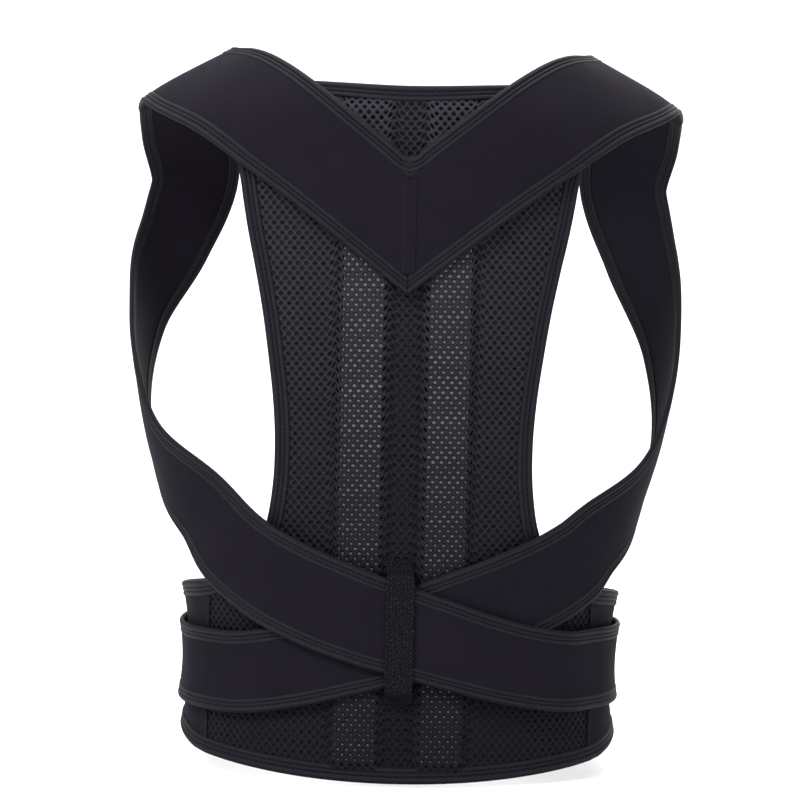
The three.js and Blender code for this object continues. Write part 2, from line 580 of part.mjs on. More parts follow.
const corrector = new THREE.Group();
corrector.name = 'posture_corrector';
corrector.add(
  cloth('back_panel', panelGrid, REST, PANEL_TOP, MESH, true),
  cloth('stay_left', stripGrid(stayRows, -STAY_ACROSS, [-stayHalf, 0, stayHalf]),
    PANEL_TOP + GAP, PANEL_TOP + GAP + STAY_WALL, STAY),
  cloth('stay_right', stripGrid(stayRows, STAY_ACROSS, [-stayHalf, 0, stayHalf]),
    PANEL_TOP + GAP, PANEL_TOP + GAP + STAY_WALL, STAY),
  cloth('channel_left', stripGrid(channelRows, -STAY_ACROSS, channelOffsets),
    channelUnder, channelOver, MESH),
  cloth('channel_right', stripGrid(channelRows, STAY_ACROSS, channelOffsets),
    channelUnder, channelOver, MESH),
  cloth('belt_wing_left', leftWing.stations, wingUnder(leftWing, false),
    wingOver(leftWing, false), FABRIC),
  cloth('belt_wing_right', rightWing.stations, wingUnder(rightWing, true),
    wingOver(rightWing, true), FABRIC),
  foldedTape('neck_tape', neckTape),
  foldedTape('side_tape_left', sideTape(leftSide, leftWing, false)),
  foldedTape('side_tape_right', sideTape(rightSide, rightWing, true)),
  foldedTape('hem_tape', [...wingTape(leftWing, false, false).reverse(), ...hemTape,
    ...wingTape(rightWing, true, false)]),
  strapCloth('shoulder_strap_left', leftStrap),
  foldedTape('strap_tape_left_neck', strapTape(leftStrap, 0, 1)),
  foldedTape('strap_tape_left_arm', strapTape(leftStrap, 4, 3), true),
  strapCloth('shoulder_strap_right', rightStrap),
  foldedTape('strap_tape_right_neck', strapTape(rightStrap, 0, 1)),
  foldedTape('strap_tape_right_arm', strapTape(rightStrap, 4, 3), true),
  yokeSeam(),
  keeperLoop(),
  beltHook(),
  hookTab('hook_tab_left', leftStrap),
  hookTab('hook_tab_right', rightStrap),
);

export default corrector;
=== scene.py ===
# %% [markdown]
# # A posture corrector, dressed over its plain frame
# The frame is a set of plain solids in the right places. Each cell below makes
# one piece of the real thing: netting with holes in it, folded edge tape with
# its ribs and stitches, soft strap cloth, the light stays behind the netting.
# The frame's box is kept, so that the finished piece can be held against it.

# %% Load the frame
import math

import bpy
import numpy as np
from mathutils import Matrix, Vector


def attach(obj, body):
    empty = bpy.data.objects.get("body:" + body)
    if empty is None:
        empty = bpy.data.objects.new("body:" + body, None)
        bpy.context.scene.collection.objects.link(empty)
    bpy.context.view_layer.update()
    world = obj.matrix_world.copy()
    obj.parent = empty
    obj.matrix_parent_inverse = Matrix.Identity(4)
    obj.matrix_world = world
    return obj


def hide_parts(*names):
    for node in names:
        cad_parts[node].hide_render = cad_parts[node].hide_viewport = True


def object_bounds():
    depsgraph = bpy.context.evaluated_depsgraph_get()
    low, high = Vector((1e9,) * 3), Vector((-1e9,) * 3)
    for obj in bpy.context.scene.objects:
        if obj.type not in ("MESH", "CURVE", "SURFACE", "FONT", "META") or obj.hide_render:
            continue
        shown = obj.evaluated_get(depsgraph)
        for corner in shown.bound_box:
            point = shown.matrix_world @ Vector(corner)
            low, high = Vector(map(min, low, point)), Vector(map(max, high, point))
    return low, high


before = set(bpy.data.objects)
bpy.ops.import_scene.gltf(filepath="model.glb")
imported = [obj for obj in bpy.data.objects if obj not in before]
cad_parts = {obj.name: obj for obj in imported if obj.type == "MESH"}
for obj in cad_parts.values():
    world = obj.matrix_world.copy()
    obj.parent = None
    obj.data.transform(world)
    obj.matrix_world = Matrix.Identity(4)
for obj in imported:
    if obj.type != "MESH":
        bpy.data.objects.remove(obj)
frame_low, frame_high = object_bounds()
print("frame nodes:", len(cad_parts))

# %% [markdown]
# ## Camera
# The photograph was taken straight from behind with a longish lens, from about a
# metre and a half away, a little below the shoulder blades, and it leans by just
# over one degree. Settling the camera first means that every piece made later
# can be compared with the photograph in the same view.

# %% Place the camera
CAMERA_AT = (-0.003, -1.518, 0.177)
CAMERA_LENS = 101.6
CAMERA_LEAN = 1.3

lens = bpy.data.cameras.new("camera")
lens.lens = CAMERA_LENS
lens.sensor_width = 36.0
camera = bpy.data.objects.new("camera", lens)
bpy.context.collection.objects.link(camera)
upright = Matrix.Rotation(math.radians(90), 4, "X")
lean = Matrix.Rotation(math.radians(CAMERA_LEAN), 4, "Z")
camera.matrix_world = Matrix.Translation(CAMERA_AT) @ upright @ lean
bpy.context.scene.camera = camera
print("camera at", CAMERA_AT)

# %% [markdown]
# ## Floor and light
# Black cloth needs broad, soft light, or its texture drowns. One large lamp
# stands high on the left behind the camera, where the photograph has its
# brightest side, a weaker one fills from the right, and one above lights the
# shoulders. A pale sweep that curves up far behind gives the plain background.

# %% Build the sweep and the lamps
SWEEP_FLOOR = float(frame_low.z) - 0.001
SWEEP_BACK = 2.6
SWEEP_ROUND = 1.2
SWEEP_HALF = 5.0


def sweep_profile():
    bend = [math.radians(90 * k / 16) for k in range(17)]
    curve = [(SWEEP_BACK + SWEEP_ROUND * math.sin(a), SWEEP_ROUND * (1 - math.cos(a))) for a in bend]
    return [(-5.0, 0.0)] + curve + [(SWEEP_BACK + SWEEP_ROUND, 5.0)]


def sweep_mesh():
    points = []
    for y, z in sweep_profile():
        points += [(-SWEEP_HALF, y, z + SWEEP_FLOOR), (SWEEP_HALF, y, z + SWEEP_FLOOR)]
    faces = [(2 * i, 2 * i + 1, 2 * i + 3, 2 * i + 2) for i in range(len(points) // 2 - 1)]
    mesh = bpy.data.meshes.new("sweep")
    mesh.from_pydata(points, [], faces)
    mesh.shade_smooth()
    return mesh


sweep = bpy.data.objects.new("sweep", sweep_mesh())
bpy.context.collection.objects.link(sweep)


def softbox(name, at, aim, size, power):
    lamp = bpy.data.lights.new(name, "AREA")
    lamp.shape = "SQUARE"
    lamp.size = size
    lamp.energy = power
    holder = bpy.data.objects.new(name, lamp)
    holder.location = at
    turn = (Vector(aim) - Vector(at)).to_track_quat("-Z", "Y")
    holder.rotation_mode = "QUATERNION"
    holder.rotation_quaternion = turn
    bpy.context.collection.objects.link(holder)


CHEST_MIDDLE = (0.0, 0.0, 0.18)
softbox("key_lamp", (-0.8, -1.1, 1.30), (0.0, -0.05, 0.26), 0.7, 36)
softbox("fill_lamp", (1.9, -2.0, 1.3), CHEST_MIDDLE, 1.6, 14)
softbox("top_lamp", (0.2, 0.3, 2.6), CHEST_MIDDLE, 1.2, 46)
softbox("front_lamp", (0.6, 2.2, 1.2), CHEST_MIDDLE, 1.6, 26)
softbox("sweep_lamp", (0.0, 1.2, 3.4), (0.0, 3.6, 0.6), 2.4, 120)
world = bpy.data.worlds.new("studio")
world.use_nodes = True
world.node_tree.nodes["Background"].inputs["Color"].default_value = (1.0, 1.0, 1.0, 1.0)
world.node_tree.nodes["Background"].inputs["Strength"].default_value = 0.8
bpy.context.scene.world = world
bpy.context.scene.view_settings.view_transform = "Standard"
print("lamps: 5")

# %% [markdown]
# ## Writing finishes as sums
# A finish is a small network of nodes. Wiring them one by one hides the idea, so
# a socket is wrapped in a class whose operators add the Math nodes. A mask can
# then be written as it is thought of, such as 1 - rib * wear. Everything that
# isn't arithmetic goes through one method that takes the node's type, its
# settings and its inputs.

# %% A socket that can be reckoned with
class Thread:
    """The output of a node, on which +, -, *, / and ** make Math nodes."""

    def __init__(self, finish, socket):
        self.finish = finish
        self.socket = socket

    def reckon(self, operation, first, second=0.0):
        settings = {"operation": operation}
        return self.finish.node("ShaderNodeMath", settings, {0: first, 1: second})

    def __add__(self, other):
        return self.reckon("ADD", self, other)

    def __sub__(self, other):
        return self.reckon("SUBTRACT", self, other)

    def __rsub__(self, other):
        return self.reckon("SUBTRACT", other, self)

    def __mul__(self, other):
        return self.reckon("MULTIPLY", self, other)

    def __truediv__(self, other):
        return self.reckon("DIVIDE", self, other)

    def __rtruediv__(self, other):
        return self.reckon("DIVIDE", other, self)

    def __pow__(self, other):
        return self.reckon("POWER", self, other)

    def clipped(self):
        return self.reckon("MAXIMUM", self.reckon("MINIMUM", self, 1.0), 0.0)

    def wave(self):
        return self.reckon("SINE", self) * 0.5 + 0.5

    __radd__ = __add__
    __rmul__ = __mul__


class Finish:
    """A material with a Principled shader, and the means to feed it."""

    def __init__(self, name, colour, roughness, fixed=None):
        self.material = bpy.data.materials.new(name)
        self.material.use_nodes = True
        self.nodes = self.material.node_tree.nodes
        self.links = self.material.node_tree.links
        self.shader = self.nodes["Principled BSDF"]
        self.material.diffuse_color = (*colour, 1.0)
        self.set("Base Color", (*colour, 1.0))
        self.set("Roughness", roughness)
        for socket, value in (fixed or {}).items():
            self.set(socket, value)

    def set(self, socket, value):
        self.feed(self.shader, socket, value)

    def feed(self, node, socket, value):
        if isinstance(value, Thread):
            self.links.new(value.socket, node.inputs[socket])
        else:
            node.inputs[socket].default_value = value

    def node(self, kind, settings=None, inputs=None, output=0):
        made = self.nodes.new(kind)
        for setting, value in (settings or {}).items():
            setattr(made, setting, value)
        for socket, value in (inputs or {}).items():
            self.feed(made, socket, value)
        return Thread(self, made.outputs[output])

    def blend(self, mask, first, second):
        """One colour shading into another: slots 6 and 7 are a Mix node's colours."""
        return self.node("ShaderNodeMix", {"data_type": "RGBA"}, {0: mask, 6: first, 7: second}, 2)

    def cloth_place(self):
        """Where a point lies on the flat cloth: across and along it, in metres."""
        place = self.node("ShaderNodeAttribute", {"attribute_name": "cloth"}, output="Vector")
        split = self.nodes.new("ShaderNodeSeparateXYZ")
        self.links.new(place.socket, split.inputs[0])
        return Thread(self, split.outputs[0]), Thread(self, split.outputs[1])

    def height_and_shade(self):
        """How high a point stands in its own knit or rib, from 0 to 1, which the finishes turn into
        painted shade low down and painted highlight on top; in the netting it also carries painted shade
        and light by place.
        """
        return self.node("ShaderNodeAttribute", {"attribute_name": "height_and_shade"}, output="Fac")

    def object_place(self):
        return self.node("ShaderNodeTexCoord", output="Object")

    def cloud(self, scale, detail=3.0, rough=0.55):
        settings = {"noise_dimensions": "3D"}
        inputs = {"Vector": self.object_place(), "Scale": scale, "Detail": detail, "Roughness": rough}
        return self.node("ShaderNodeTexNoise", settings, inputs)

    def relief(self, height, depth, strength=1.0):
        inputs = {"Strength": strength, "Distance": depth, "Height": height}
        self.set("Normal", self.node("ShaderNodeBump", None, inputs))


def grey(tone, blue=1.0, green=0.93):
    """A dark neutral that leans slightly to violet, as dyed polyester does."""
    return (tone, tone * green, tone * blue, 1.0)


def soft_gloss(level, sheen=0.0):
    """Black cloth shines far less than plastic, or it would look grey."""
    return {"Specular IOR Level": level, "Sheen Weight": sheen, "Sheen Roughness": 0.4}


print("finish tools ready")

# %% [markdown]
# ## The finishes
# Every part here is black, and the photograph tells them apart by how they
# catch light. The netting's yarn is a dull dark grey. Strap cloth is a fine
# brushed loop: nearly black, a little blue, with a faint bloom at glancing
# angles. The edge tape is ribbed across and shines softly on its ribs. The stays
# are light grey plastic, of which only dots show through the netting. Each gets
# its own grain, at its true size, in metres.

# %% Netting yarn
def yarn_finish(name, tone, sheen):
    finish = Finish(name, (tone, tone, tone), 0.75, soft_gloss(0.08, sheen))
    fibre = finish.cloud(2600.0, 2.0)
    patch = finish.cloud(38.0, 3.0)
    # Painted shade and highlight: the yarn's colour runs from dark down in its holes to light on its
    # crests, by height, and fibre and patches vary it.
    crest = finish.height_and_shade() ** 1.35
    mask = (crest * (0.45 + fibre * 0.5 + patch * 0.6)).clipped()
    finish.set("Base Color", finish.blend(mask, grey(tone * 0.06, 1.25, 0.87), grey(tone, 1.25, 0.87)))
    finish.set("Roughness", 0.62 + fibre * 0.2)
    finish.relief(fibre, 0.00016)
    return finish.material


NET_YARN = yarn_finish("net_yarn", 0.0208, 0.0)
print("yarn:", NET_YARN.name)

# %% Inner faces of netting, darkened, with painted shade: holes as dark dots
def inner_net_finish():
    finish = Finish("net_inner", (0.008, 0.008, 0.009), 0.9, soft_gloss(0.06))
    across, along = finish.cloth_place()
    row = (along * (math.pi / 0.0031)).wave()
    column = (across * (math.pi / 0.0026)).wave()
    # Painted shade: the dots stand for the shade down in the holes, and the whole face is kept darker
    # than the yarn as shade inside the netting.
    hole = (row * column * 2.4 - 0.9).clipped()
    finish.set("Base Color", finish.blend(hole, grey(0.011, 1.1), grey(0.003, 1.1)))
    finish.relief(1 - hole, 0.0006)
    return finish.material


NET_INNER = inner_net_finish()
print("inner net:", NET_INNER.name)

# %% Brushed strap cloth
def strap_cloth_finish():
    finish = Finish("strap_cloth", (0.007, 0.007, 0.009), 0.88, soft_gloss(0.06, 0.01))
    nap = finish.cloud(1500.0, 4.0, 0.6)
    patch = finish.cloud(26.0, 3.0, 0.5)
    mask = (nap * 0.5 + patch * 0.9 - 0.2).clipped()
    finish.set("Base Color", finish.blend(mask, grey(0.0042, 1.42, 0.80), grey(0.0076, 1.42, 0.80)))
    finish.set("Roughness", 0.80 + nap * 0.14)
    finish.relief(nap, 0.00022, 0.8)
    return finish.material


STRAP_CLOTH = strap_cloth_finish()
print("strap cloth:", STRAP_CLOTH.name)

# %% Ribbed edge tape
def edge_tape_finish():
    finish = Finish("edge_tape", (0.032, 0.031, 0.035), 0.6, soft_gloss(0.07, 0.0))
    across, along = finish.cloth_place()
    weave = (along * (2 * math.pi / 0.00085)).wave()
    rib = (across * (2 * math.pi / 0.0011)).wave()
    worn = finish.cloud(120.0, 3.0)
    # Painted shade and highlight: the tape is darker in its grooves and lighter on its ribs, by their
    # height; weave, rib lines and worn patches vary it.
    ridge = finish.height_and_shade() ** 1.5
    light = (ridge * (weave * 0.2 + rib * 0.2 + worn * 0.6 + 0.25)).clipped()
    finish.set("Base Color", finish.blend(light, grey(0.0022, 1.3, 0.85), grey(0.0130, 1.3, 0.85)))
    finish.set("Roughness", 0.5 + worn * 0.22)
    finish.relief(weave * 0.6 + rib * 0.4, 0.00012)
    return finish.material


EDGE_TAPE = edge_tape_finish()
print("edge tape:", EDGE_TAPE.name)

# %% Sewing thread, woven band, stays and hook patches
def thread_finish():
    finish = Finish("thread", (0.02, 0.019, 0.022), 0.55, soft_gloss(0.2, 0.03))
    twist = finish.cloud(3000.0, 1.0)
    finish.set("Base Color", finish.blend(twist, grey(0.006, 1.1), grey(0.016, 1.1)))
    return finish.material


def band_finish():
    finish = Finish("woven_band", (0.03, 0.03, 0.032), 0.62, soft_gloss(0.10, 0.0))
    fleck = finish.cloud(900.0, 2.0, 0.7)
    ridge = finish.height_and_shade() ** 1.5
    # Painted shade and highlight: the band's ground is darker in the weave's hollows and lighter on its
    # ridges, and its light flecks are dimmed in the hollows.
    bright = ((fleck - 0.60) * 9.0).clipped() * (0.2 + ridge * 0.8)
    ground = finish.blend(ridge, grey(0.0009, 1.45, 0.80), grey(0.0116, 1.45, 0.80))
    finish.set("Base Color", finish.blend(bright, ground, grey(0.072, 1.35, 0.85)))
    finish.set("Roughness", 0.7 - bright * 0.2)
    finish.relief(fleck, 0.0003)
    return finish.material


def stay_finish():
    finish = Finish("stay_plastic", (0.125, 0.122, 0.13), 0.5, soft_gloss(0.4))
    haze = finish.cloud(22.0, 2.0)
    grain = finish.cloud(1800.0, 2.0)
    finish.set("Base Color", finish.blend(haze, (0.090, 0.087, 0.096, 1.0), (0.180, 0.175, 0.188, 1.0)))
    finish.relief(grain, 0.0001)
    return finish.material


def hook_finish():
    finish = Finish("hook_patch", (0.012, 0.012, 0.013), 0.7, soft_gloss(0.2))
    across, along = finish.cloth_place()
    hooks = (across * (2 * math.pi / 0.0013)).wave() * (along * (2 * math.pi / 0.0011)).wave()
    # Painted shade and highlight: the patch is darker between its rows of hooks and lighter on them.
    finish.set("Base Color", finish.blend(hooks, grey(0.006), grey(0.026, 1.05)))
    finish.relief(hooks, 0.0005)
    return finish.material


THREAD = thread_finish()
WOVEN_BAND = band_finish()
STAY_PLASTIC = stay_finish()
HOOK_PATCH = hook_finish()


def sweep_finish():
    finish = Finish("pale_paper", (0.82, 0.82, 0.82), 0.9)
    tooth = finish.cloud(60.0, 2.0)
    finish.set("Base Color", finish.blend(tooth, (0.80, 0.80, 0.80, 1.0), (0.84, 0.84, 0.84, 1.0)))
    return finish.material


sweep.data.materials.append(sweep_finish())
print("finishes:", len(bpy.data.materials))

# %% [markdown]
# ## The hollow form
# Worn cloth takes the shape of what it is stretched over, so all of it is laid
# on one smooth hollow form that is never shown. The form is described by a
# formula that says roughly how far a point lies outside it. Any point can be
# settled onto its face by stepping down that distance, and cloth is then lifted
# from the face by its own thickness. A modelled body would do too, but a
# formula keeps every layer exactly parallel to the one below it.

# %% Sizes in metres
MM = 0.001
BACK_HEIGHT = 0.435
WAIST_HALF = 0.1365
WAIST_BACK = 0.096
WAIST_FRONT = 0.102
CHEST_HALF = 0.180
CHEST_DEEP = 0.118
CREST_ACROSS = 0.148
CREST_UP = 0.388
CREST_SLOPE = 0.53
CREST_DEEP = -0.010
CREST_ROUND = 0.096
CREST_MIDDLE = 0.010
SHOULDER_BLEND = 0.030

GAP = 0.0004
LAYER_GAP = 0.0009
TAPE = 0.0005
PANEL_WALL = 0.0022
STRAP_WALL = 0.0018
STAY_WALL = 0.0012
CHANNEL_WALL = 0.0008
REST = TAPE + GAP
PANEL_TOP = REST + PANEL_WALL
CHANNEL_TOP = PANEL_TOP + GAP + STAY_WALL + GAP + CHANNEL_WALL
OVER_PANEL = CHANNEL_TOP + LAYER_GAP
OVER_STRAP = STRAP_WALL + 2 * (GAP + TAPE) + LAYER_GAP
OVER_WING = PANEL_WALL + 2 * (GAP + TAPE) + LAYER_GAP
print("a strap on the panel lies", round(OVER_PANEL / MM, 1), "mm over the form")

# %% The form's table
HOLLOW = {
    "up": [-0.16, -0.06, 0.00, 0.10, 0.20, 0.35, 0.49, 0.58, 0.70, 0.81, 0.93, 1.05],
    "wide": [0.22, 0.06, 0.00, 0.10, 0.32, 0.76, 1.00, 1.10, 1.30, 1.55, 1.70, 1.75],
    "back": [0.40, 0.10, 0.00, 0.02, 0.15, 0.60, 1.00, 1.14, 1.22, 1.12, 0.70, 0.20],
    "front": [0.30, 0.05, 0.00, 0.02, 0.15, 0.60, 1.00, 1.06, 0.60, -0.40, -1.40, -2.20],
    "square": [2.30, 2.30, 2.30, 2.30, 2.35, 2.40, 2.45, 2.50, 2.50, 2.50, 2.50, 2.50],
}


def read(table, by, column, at):
    """Smooth value of one column of a table at any places along another."""
    mark = np.asarray(table[by], float)
    value = np.asarray(table[column], float)
    at = np.clip(np.asarray(at, float), mark[0], mark[-1])
    i = np.clip(np.searchsorted(mark, at, side="left") - 1, 0, len(mark) - 2)
    span = np.diff(mark)
    rise = np.diff(value) / span
    lean = np.empty(len(mark))
    lean[0], lean[-1] = rise[0], rise[-1]
    lean[1:-1] = (rise[:-1] * span[1:] + rise[1:] * span[:-1]) / (span[:-1] + span[1:])
    t = (at - mark[i]) / span[i]
    start = (2 * t**3 - 3 * t**2 + 1) * value[i] + (t**3 - 2 * t**2 + t) * span[i] * lean[i]
    return start + (3 * t**2 - 2 * t**3) * value[i + 1] + (t**3 - t**2) * span[i] * lean[i + 1]


def section(z, to_back):
    """Half width, depth and squareness of the form at given heights."""
    up = z / BACK_HEIGHT
    side = np.where(to_back, WAIST_BACK, WAIST_FRONT)
    run = np.where(to_back, read(HOLLOW, "up", "back", up), read(HOLLOW, "up", "front", up))
    half = WAIST_HALF + read(HOLLOW, "up", "wide", up) * (CHEST_HALF - WAIST_HALF)
    return half, side + run * (CHEST_DEEP - side), read(HOLLOW, "up", "square", up)


print("form heights:", len(HOLLOW["up"]))

# %% Settling points on the form
def outside(p):
    """Roughly how far points lie outside the form, less than 0 inside it."""
    x, y, z = p[..., 0], p[..., 1], p[..., 2]
    half, deep, square = section(z, y < 0)
    ring = (np.abs(x / half) ** square + np.abs(y / deep) ** square) ** (1 / square)
    wall = (ring - 1) * deep
    fall = CREST_SLOPE * (np.hypot(x, CREST_MIDDLE) - CREST_ACROSS)
    roof = 0.85 * (z - CREST_UP + fall + (y - CREST_DEEP) ** 2 / (2 * CREST_ROUND))
    blend = np.maximum(SHOULDER_BLEND - np.abs(wall - roof), 0) / SHOULDER_BLEND
    return np.maximum(wall, roof) + blend * blend * SHOULDER_BLEND / 4


def steepest(p):
    reach = 0.0005
    slope = np.empty_like(p)
    for axis in range(3):
        step = np.zeros(3)
        step[axis] = reach
        slope[..., axis] = (outside(p + step) - outside(p - step)) / (2 * reach)
    return slope


def unit(v):
    return v / np.maximum(np.linalg.norm(v, axis=-1, keepdims=True), 1e-12)


def dot(a, b):
    return np.sum(a * b, axis=-1, keepdims=True)


class Seat:
    """Places on the form's face, each with the direction straight out of it."""

    def __init__(self, p, out):
        self.p, self.out = p, out

    def lift(self, height):
        return self.p + self.out * np.asarray(height)[..., None]

    def walk(self, direction, distance):
        along = unit(direction - self.out * dot(direction, self.out))
        return settle(self.p + along * np.asarray(distance)[..., None], 6)

    def __getitem__(self, part):
        return Seat(self.p[part], self.out[part])


def settle(p, turns=12):
    p = np.array(p, float)
    for _ in range(turns):
        slope = steepest(p)
        p = p - slope * np.clip(outside(p)[..., None] / dot(slope, slope), -0.04, 0.04)
    return Seat(p, unit(steepest(p)))


def stack(seats, axis=1):
    return Seat(np.stack([s.p for s in seats], axis), np.stack([s.out for s in seats], axis))


def join(seats):
    return Seat(np.concatenate([s.p for s in seats]), np.concatenate([s.out for s in seats]))


print("form's back at the belt:", np.round(settle(np.array([[0.0, -0.2, 0.0]])).p / MM, 1))

# %% [markdown]
# ## Meshes from grids
# Cloth, tape and stitches are all built from plain lists of points and faces. A
# sheet of cloth is a closed slab over a grid of places. Each point also keeps
# where it lies on the flat cloth, in metres, so that a weave runs along the
# cloth round every bend. Texture unwrapping could do that too, but the maker
# already knows where each thread lies.

# %% Make a piece from points and faces
SMOOTH_LIMIT = math.radians(50)
made_pieces = {}


def piece(name, points, faces, finish, cloth=None, smooth=SMOOTH_LIMIT, height_and_shade=None):
    mesh = bpy.data.meshes.new(name)
    flat = np.asarray(points, float).reshape(-1, 3)
    if isinstance(faces, np.ndarray):
        faces = faces.tolist()
    mesh.from_pydata(flat.tolist(), [], faces)
    mesh.shade_smooth()
    if smooth:
        mesh.set_sharp_from_angle(angle=smooth)
    if cloth is not None:
        layer = mesh.attributes.new("cloth", "FLOAT_VECTOR", "POINT")
        place = np.zeros((len(flat), 3))
        place[:, :2] = np.asarray(cloth, float).reshape(-1, 2)
        layer.data.foreach_set("vector", place.ravel())
    if height_and_shade is not None:
        mesh.attributes.new("height_and_shade", "FLOAT", "POINT").data.foreach_set("value", np.ravel(height_and_shade))
    mesh.materials.append(finish)
    made = bpy.data.objects.new(name, mesh)
    bpy.context.collection.objects.link(made)
    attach(made, "root")
    made_pieces[name] = made
    return made


def grid_faces(rows, columns, start=0, flip=False, ring=False):
    i, j = np.meshgrid(np.arange(rows - 1), np.arange(columns if ring else columns - 1), indexing="ij")
    k = (j + 1) % columns
    below, above = i * columns, (i + 1) * columns
    quads = np.stack([below + j, below + k, above + k, above + j], -1)
    quads = quads.reshape(-1, 4) + start
    return quads[:, ::-1] if flip else quads


def lengths(points, axis):
    """Distance run along one direction of a grid of points."""
    step = np.linalg.norm(np.diff(points, axis=axis), axis=-1)
    first = np.zeros_like(np.take(step, [0], axis))
    return np.concatenate([first, np.cumsum(step, axis)], axis)


def slab(seats, under, over):
    """Points, faces and flat places of a closed sheet between two heights."""
    rows, columns = seats.p.shape[:2]
    low = seats.lift(np.broadcast_to(under, (rows, columns)))
    high = seats.lift(np.broadcast_to(over, (rows, columns)))
    count = rows * columns
    place = np.stack([lengths(seats.p, 1), lengths(seats.p, 0)], -1)
    faces = [grid_faces(rows, columns, 0), grid_faces(rows, columns, count, flip=True)]
    edge = np.concatenate([
        np.arange(columns), np.arange(1, rows) * columns + columns - 1,
        (rows - 1) * columns + np.arange(columns - 2, -1, -1), np.arange(rows - 2, 0, -1) * columns])
    after = np.roll(edge, -1)
    faces.append(np.stack([edge, edge + count, after + count, after], -1))
    points = np.concatenate([low.reshape(-1, 3), high.reshape(-1, 3)])
    return points, np.concatenate(faces), np.concatenate([place.reshape(-1, 2)] * 2)


def outward(points, faces):
    """Turns all faces of a closed mesh if its volume comes out below zero."""
    a, b, c, d = (points[faces[:, k]] for k in range(4))
    volume = np.sum(dot(a, np.cross(b, c)) + dot(a, np.cross(c, d)))
    return faces if volume > 0 else faces[:, ::-1]


def sheet_piece(name, seats, under, over, finish, height_and_shade=None):
    points, faces, place = slab(seats, under, over)
    if height_and_shade is not None:
        height_and_shade = np.concatenate([np.zeros(height_and_shade.size), height_and_shade.ravel()])
    return piece(name, points, outward(points, faces), finish, place, height_and_shade=height_and_shade)


print("mesh tools ready")

# %% [markdown]
# ## Folded edge tape
# Every raw edge is bound with elastic tape folded over it and sewn through. Seen
# close, the tape has three soft ribs, with a row of stitches in each of the two
# grooves between them, and a rounded fold at the edge. It could be a curve with
# a bevel, but a bevel turns with the curve. Here one outline is carried along
# the edge, always square to the form, so the ribs stay on top.

# %% The tape's outline
RIB_RISE, RIB_SINK = 0.0010, 0.0005
TAPE_OUTLINE = {
    "share": [1.00, 0.97, 0.90, 0.82, 0.74, 0.68, 0.64, 0.60, 0.54, 0.46, 0.40, 0.35,
              0.30, 0.24, 0.17, 0.10, 0.04, 0.00],
    "rise": [-0.10, 0.30, 0.62, 0.70, 0.60, 0.30, 0.08, 0.30, 0.62, 0.62, 0.30, 0.08,
             0.30, 0.62, 0.76, 0.74, 0.58, 0.30],
}
FOLD_BEYOND = 0.0011
GROOVES = (0.64, 0.35)


def across_tape(edge, inner, share):
    """Places and outward directions at a share of the way across a tape."""
    return edge.p * (1 - share) + inner.p * share, unit(edge.out * (1 - share) + inner.out * share)


def tape_ring(edge, inner, under, over):
    """The closed outline of the folded tape at each station along an edge."""
    away = edge.p - inner.p
    away = unit(away - edge.out * dot(away, edge.out))
    rings = []

    def at(share, height, beyond=0.0):
        base, out = across_tape(edge, inner, share)
        rings.append(base + out * np.asarray(height)[..., None] + away * beyond)

    middle = (under + over) / 2
    for share, rise in zip(TAPE_OUTLINE["share"], TAPE_OUTLINE["rise"]):
        at(share, over + 0.0002 + rise * RIB_RISE)
    for turn in (60, 30, 0, -30, -60):
        swing = math.radians(turn)
        half = (over - under) / 2 + 0.0005
        at(0.0, middle + half * math.sin(swing), FOLD_BEYOND * math.cos(swing))
    for share, rise in list(zip(TAPE_OUTLINE["share"], TAPE_OUTLINE["rise"]))[::-1]:
        at(share, np.maximum(under - 0.0003 - rise * RIB_SINK, 0.0001))
    at(0.97, under + 0.0002)
    at(0.97, over - 0.0002)
    return np.stack(rings, 1)


def binding(name, edge, inner, under, over):
    under = np.broadcast_to(under, edge.p.shape[:1])
    over = np.broadcast_to(over, edge.p.shape[:1])
    rings = tape_ring(edge, inner, under, over)
    rows, columns = rings.shape[:2]
    faces = grid_faces(rows, columns, ring=True)
    along = np.broadcast_to(lengths(edge.p[:, None], 0), (rows, columns))
    across = lengths(rings, 1)
    points = rings.reshape(-1, 3)
    caps = [list(range(columns))[::-1], [(rows - 1) * columns + k for k in range(columns)]]
    faces = outward(points, faces).tolist() + caps
    ribs = np.clip(np.array(TAPE_OUTLINE["rise"]) / 0.7, 0, 1)
    height_and_shade = np.concatenate([ribs, np.full(5, 0.7), ribs[::-1], [0.0, 0.0]])
    return piece(name, points, faces, EDGE_TAPE, np.stack([across, along], -1),
                 height_and_shade=np.broadcast_to(height_and_shade, (rows, columns)))


print("tape outline points:", 2 * len(TAPE_OUTLINE["share"]) + 7)

# %% [markdown]
# ## Stitches
# A lockstitch shows as a row of short, slightly swollen dashes. Each dash here is
# a low ridge with eight corners, half sunk in its groove, and hundreds of them go
# into one mesh. Painting them on with a bump would be lighter, but real ridges
# keep catching the light from any side.

# %% Sew a row of stitches
STITCH_PITCH = 0.0036
STITCH_LENGTH = 0.0027
STITCH_HALF = 0.00032
STITCH_RISE = 0.00034
STITCH_ROOT = 0.0001
STITCH_OVER, STITCH_UNDER, LOWEST_STITCH = 0.00022, 0.00036, 0.0002
stitch_rows = {}


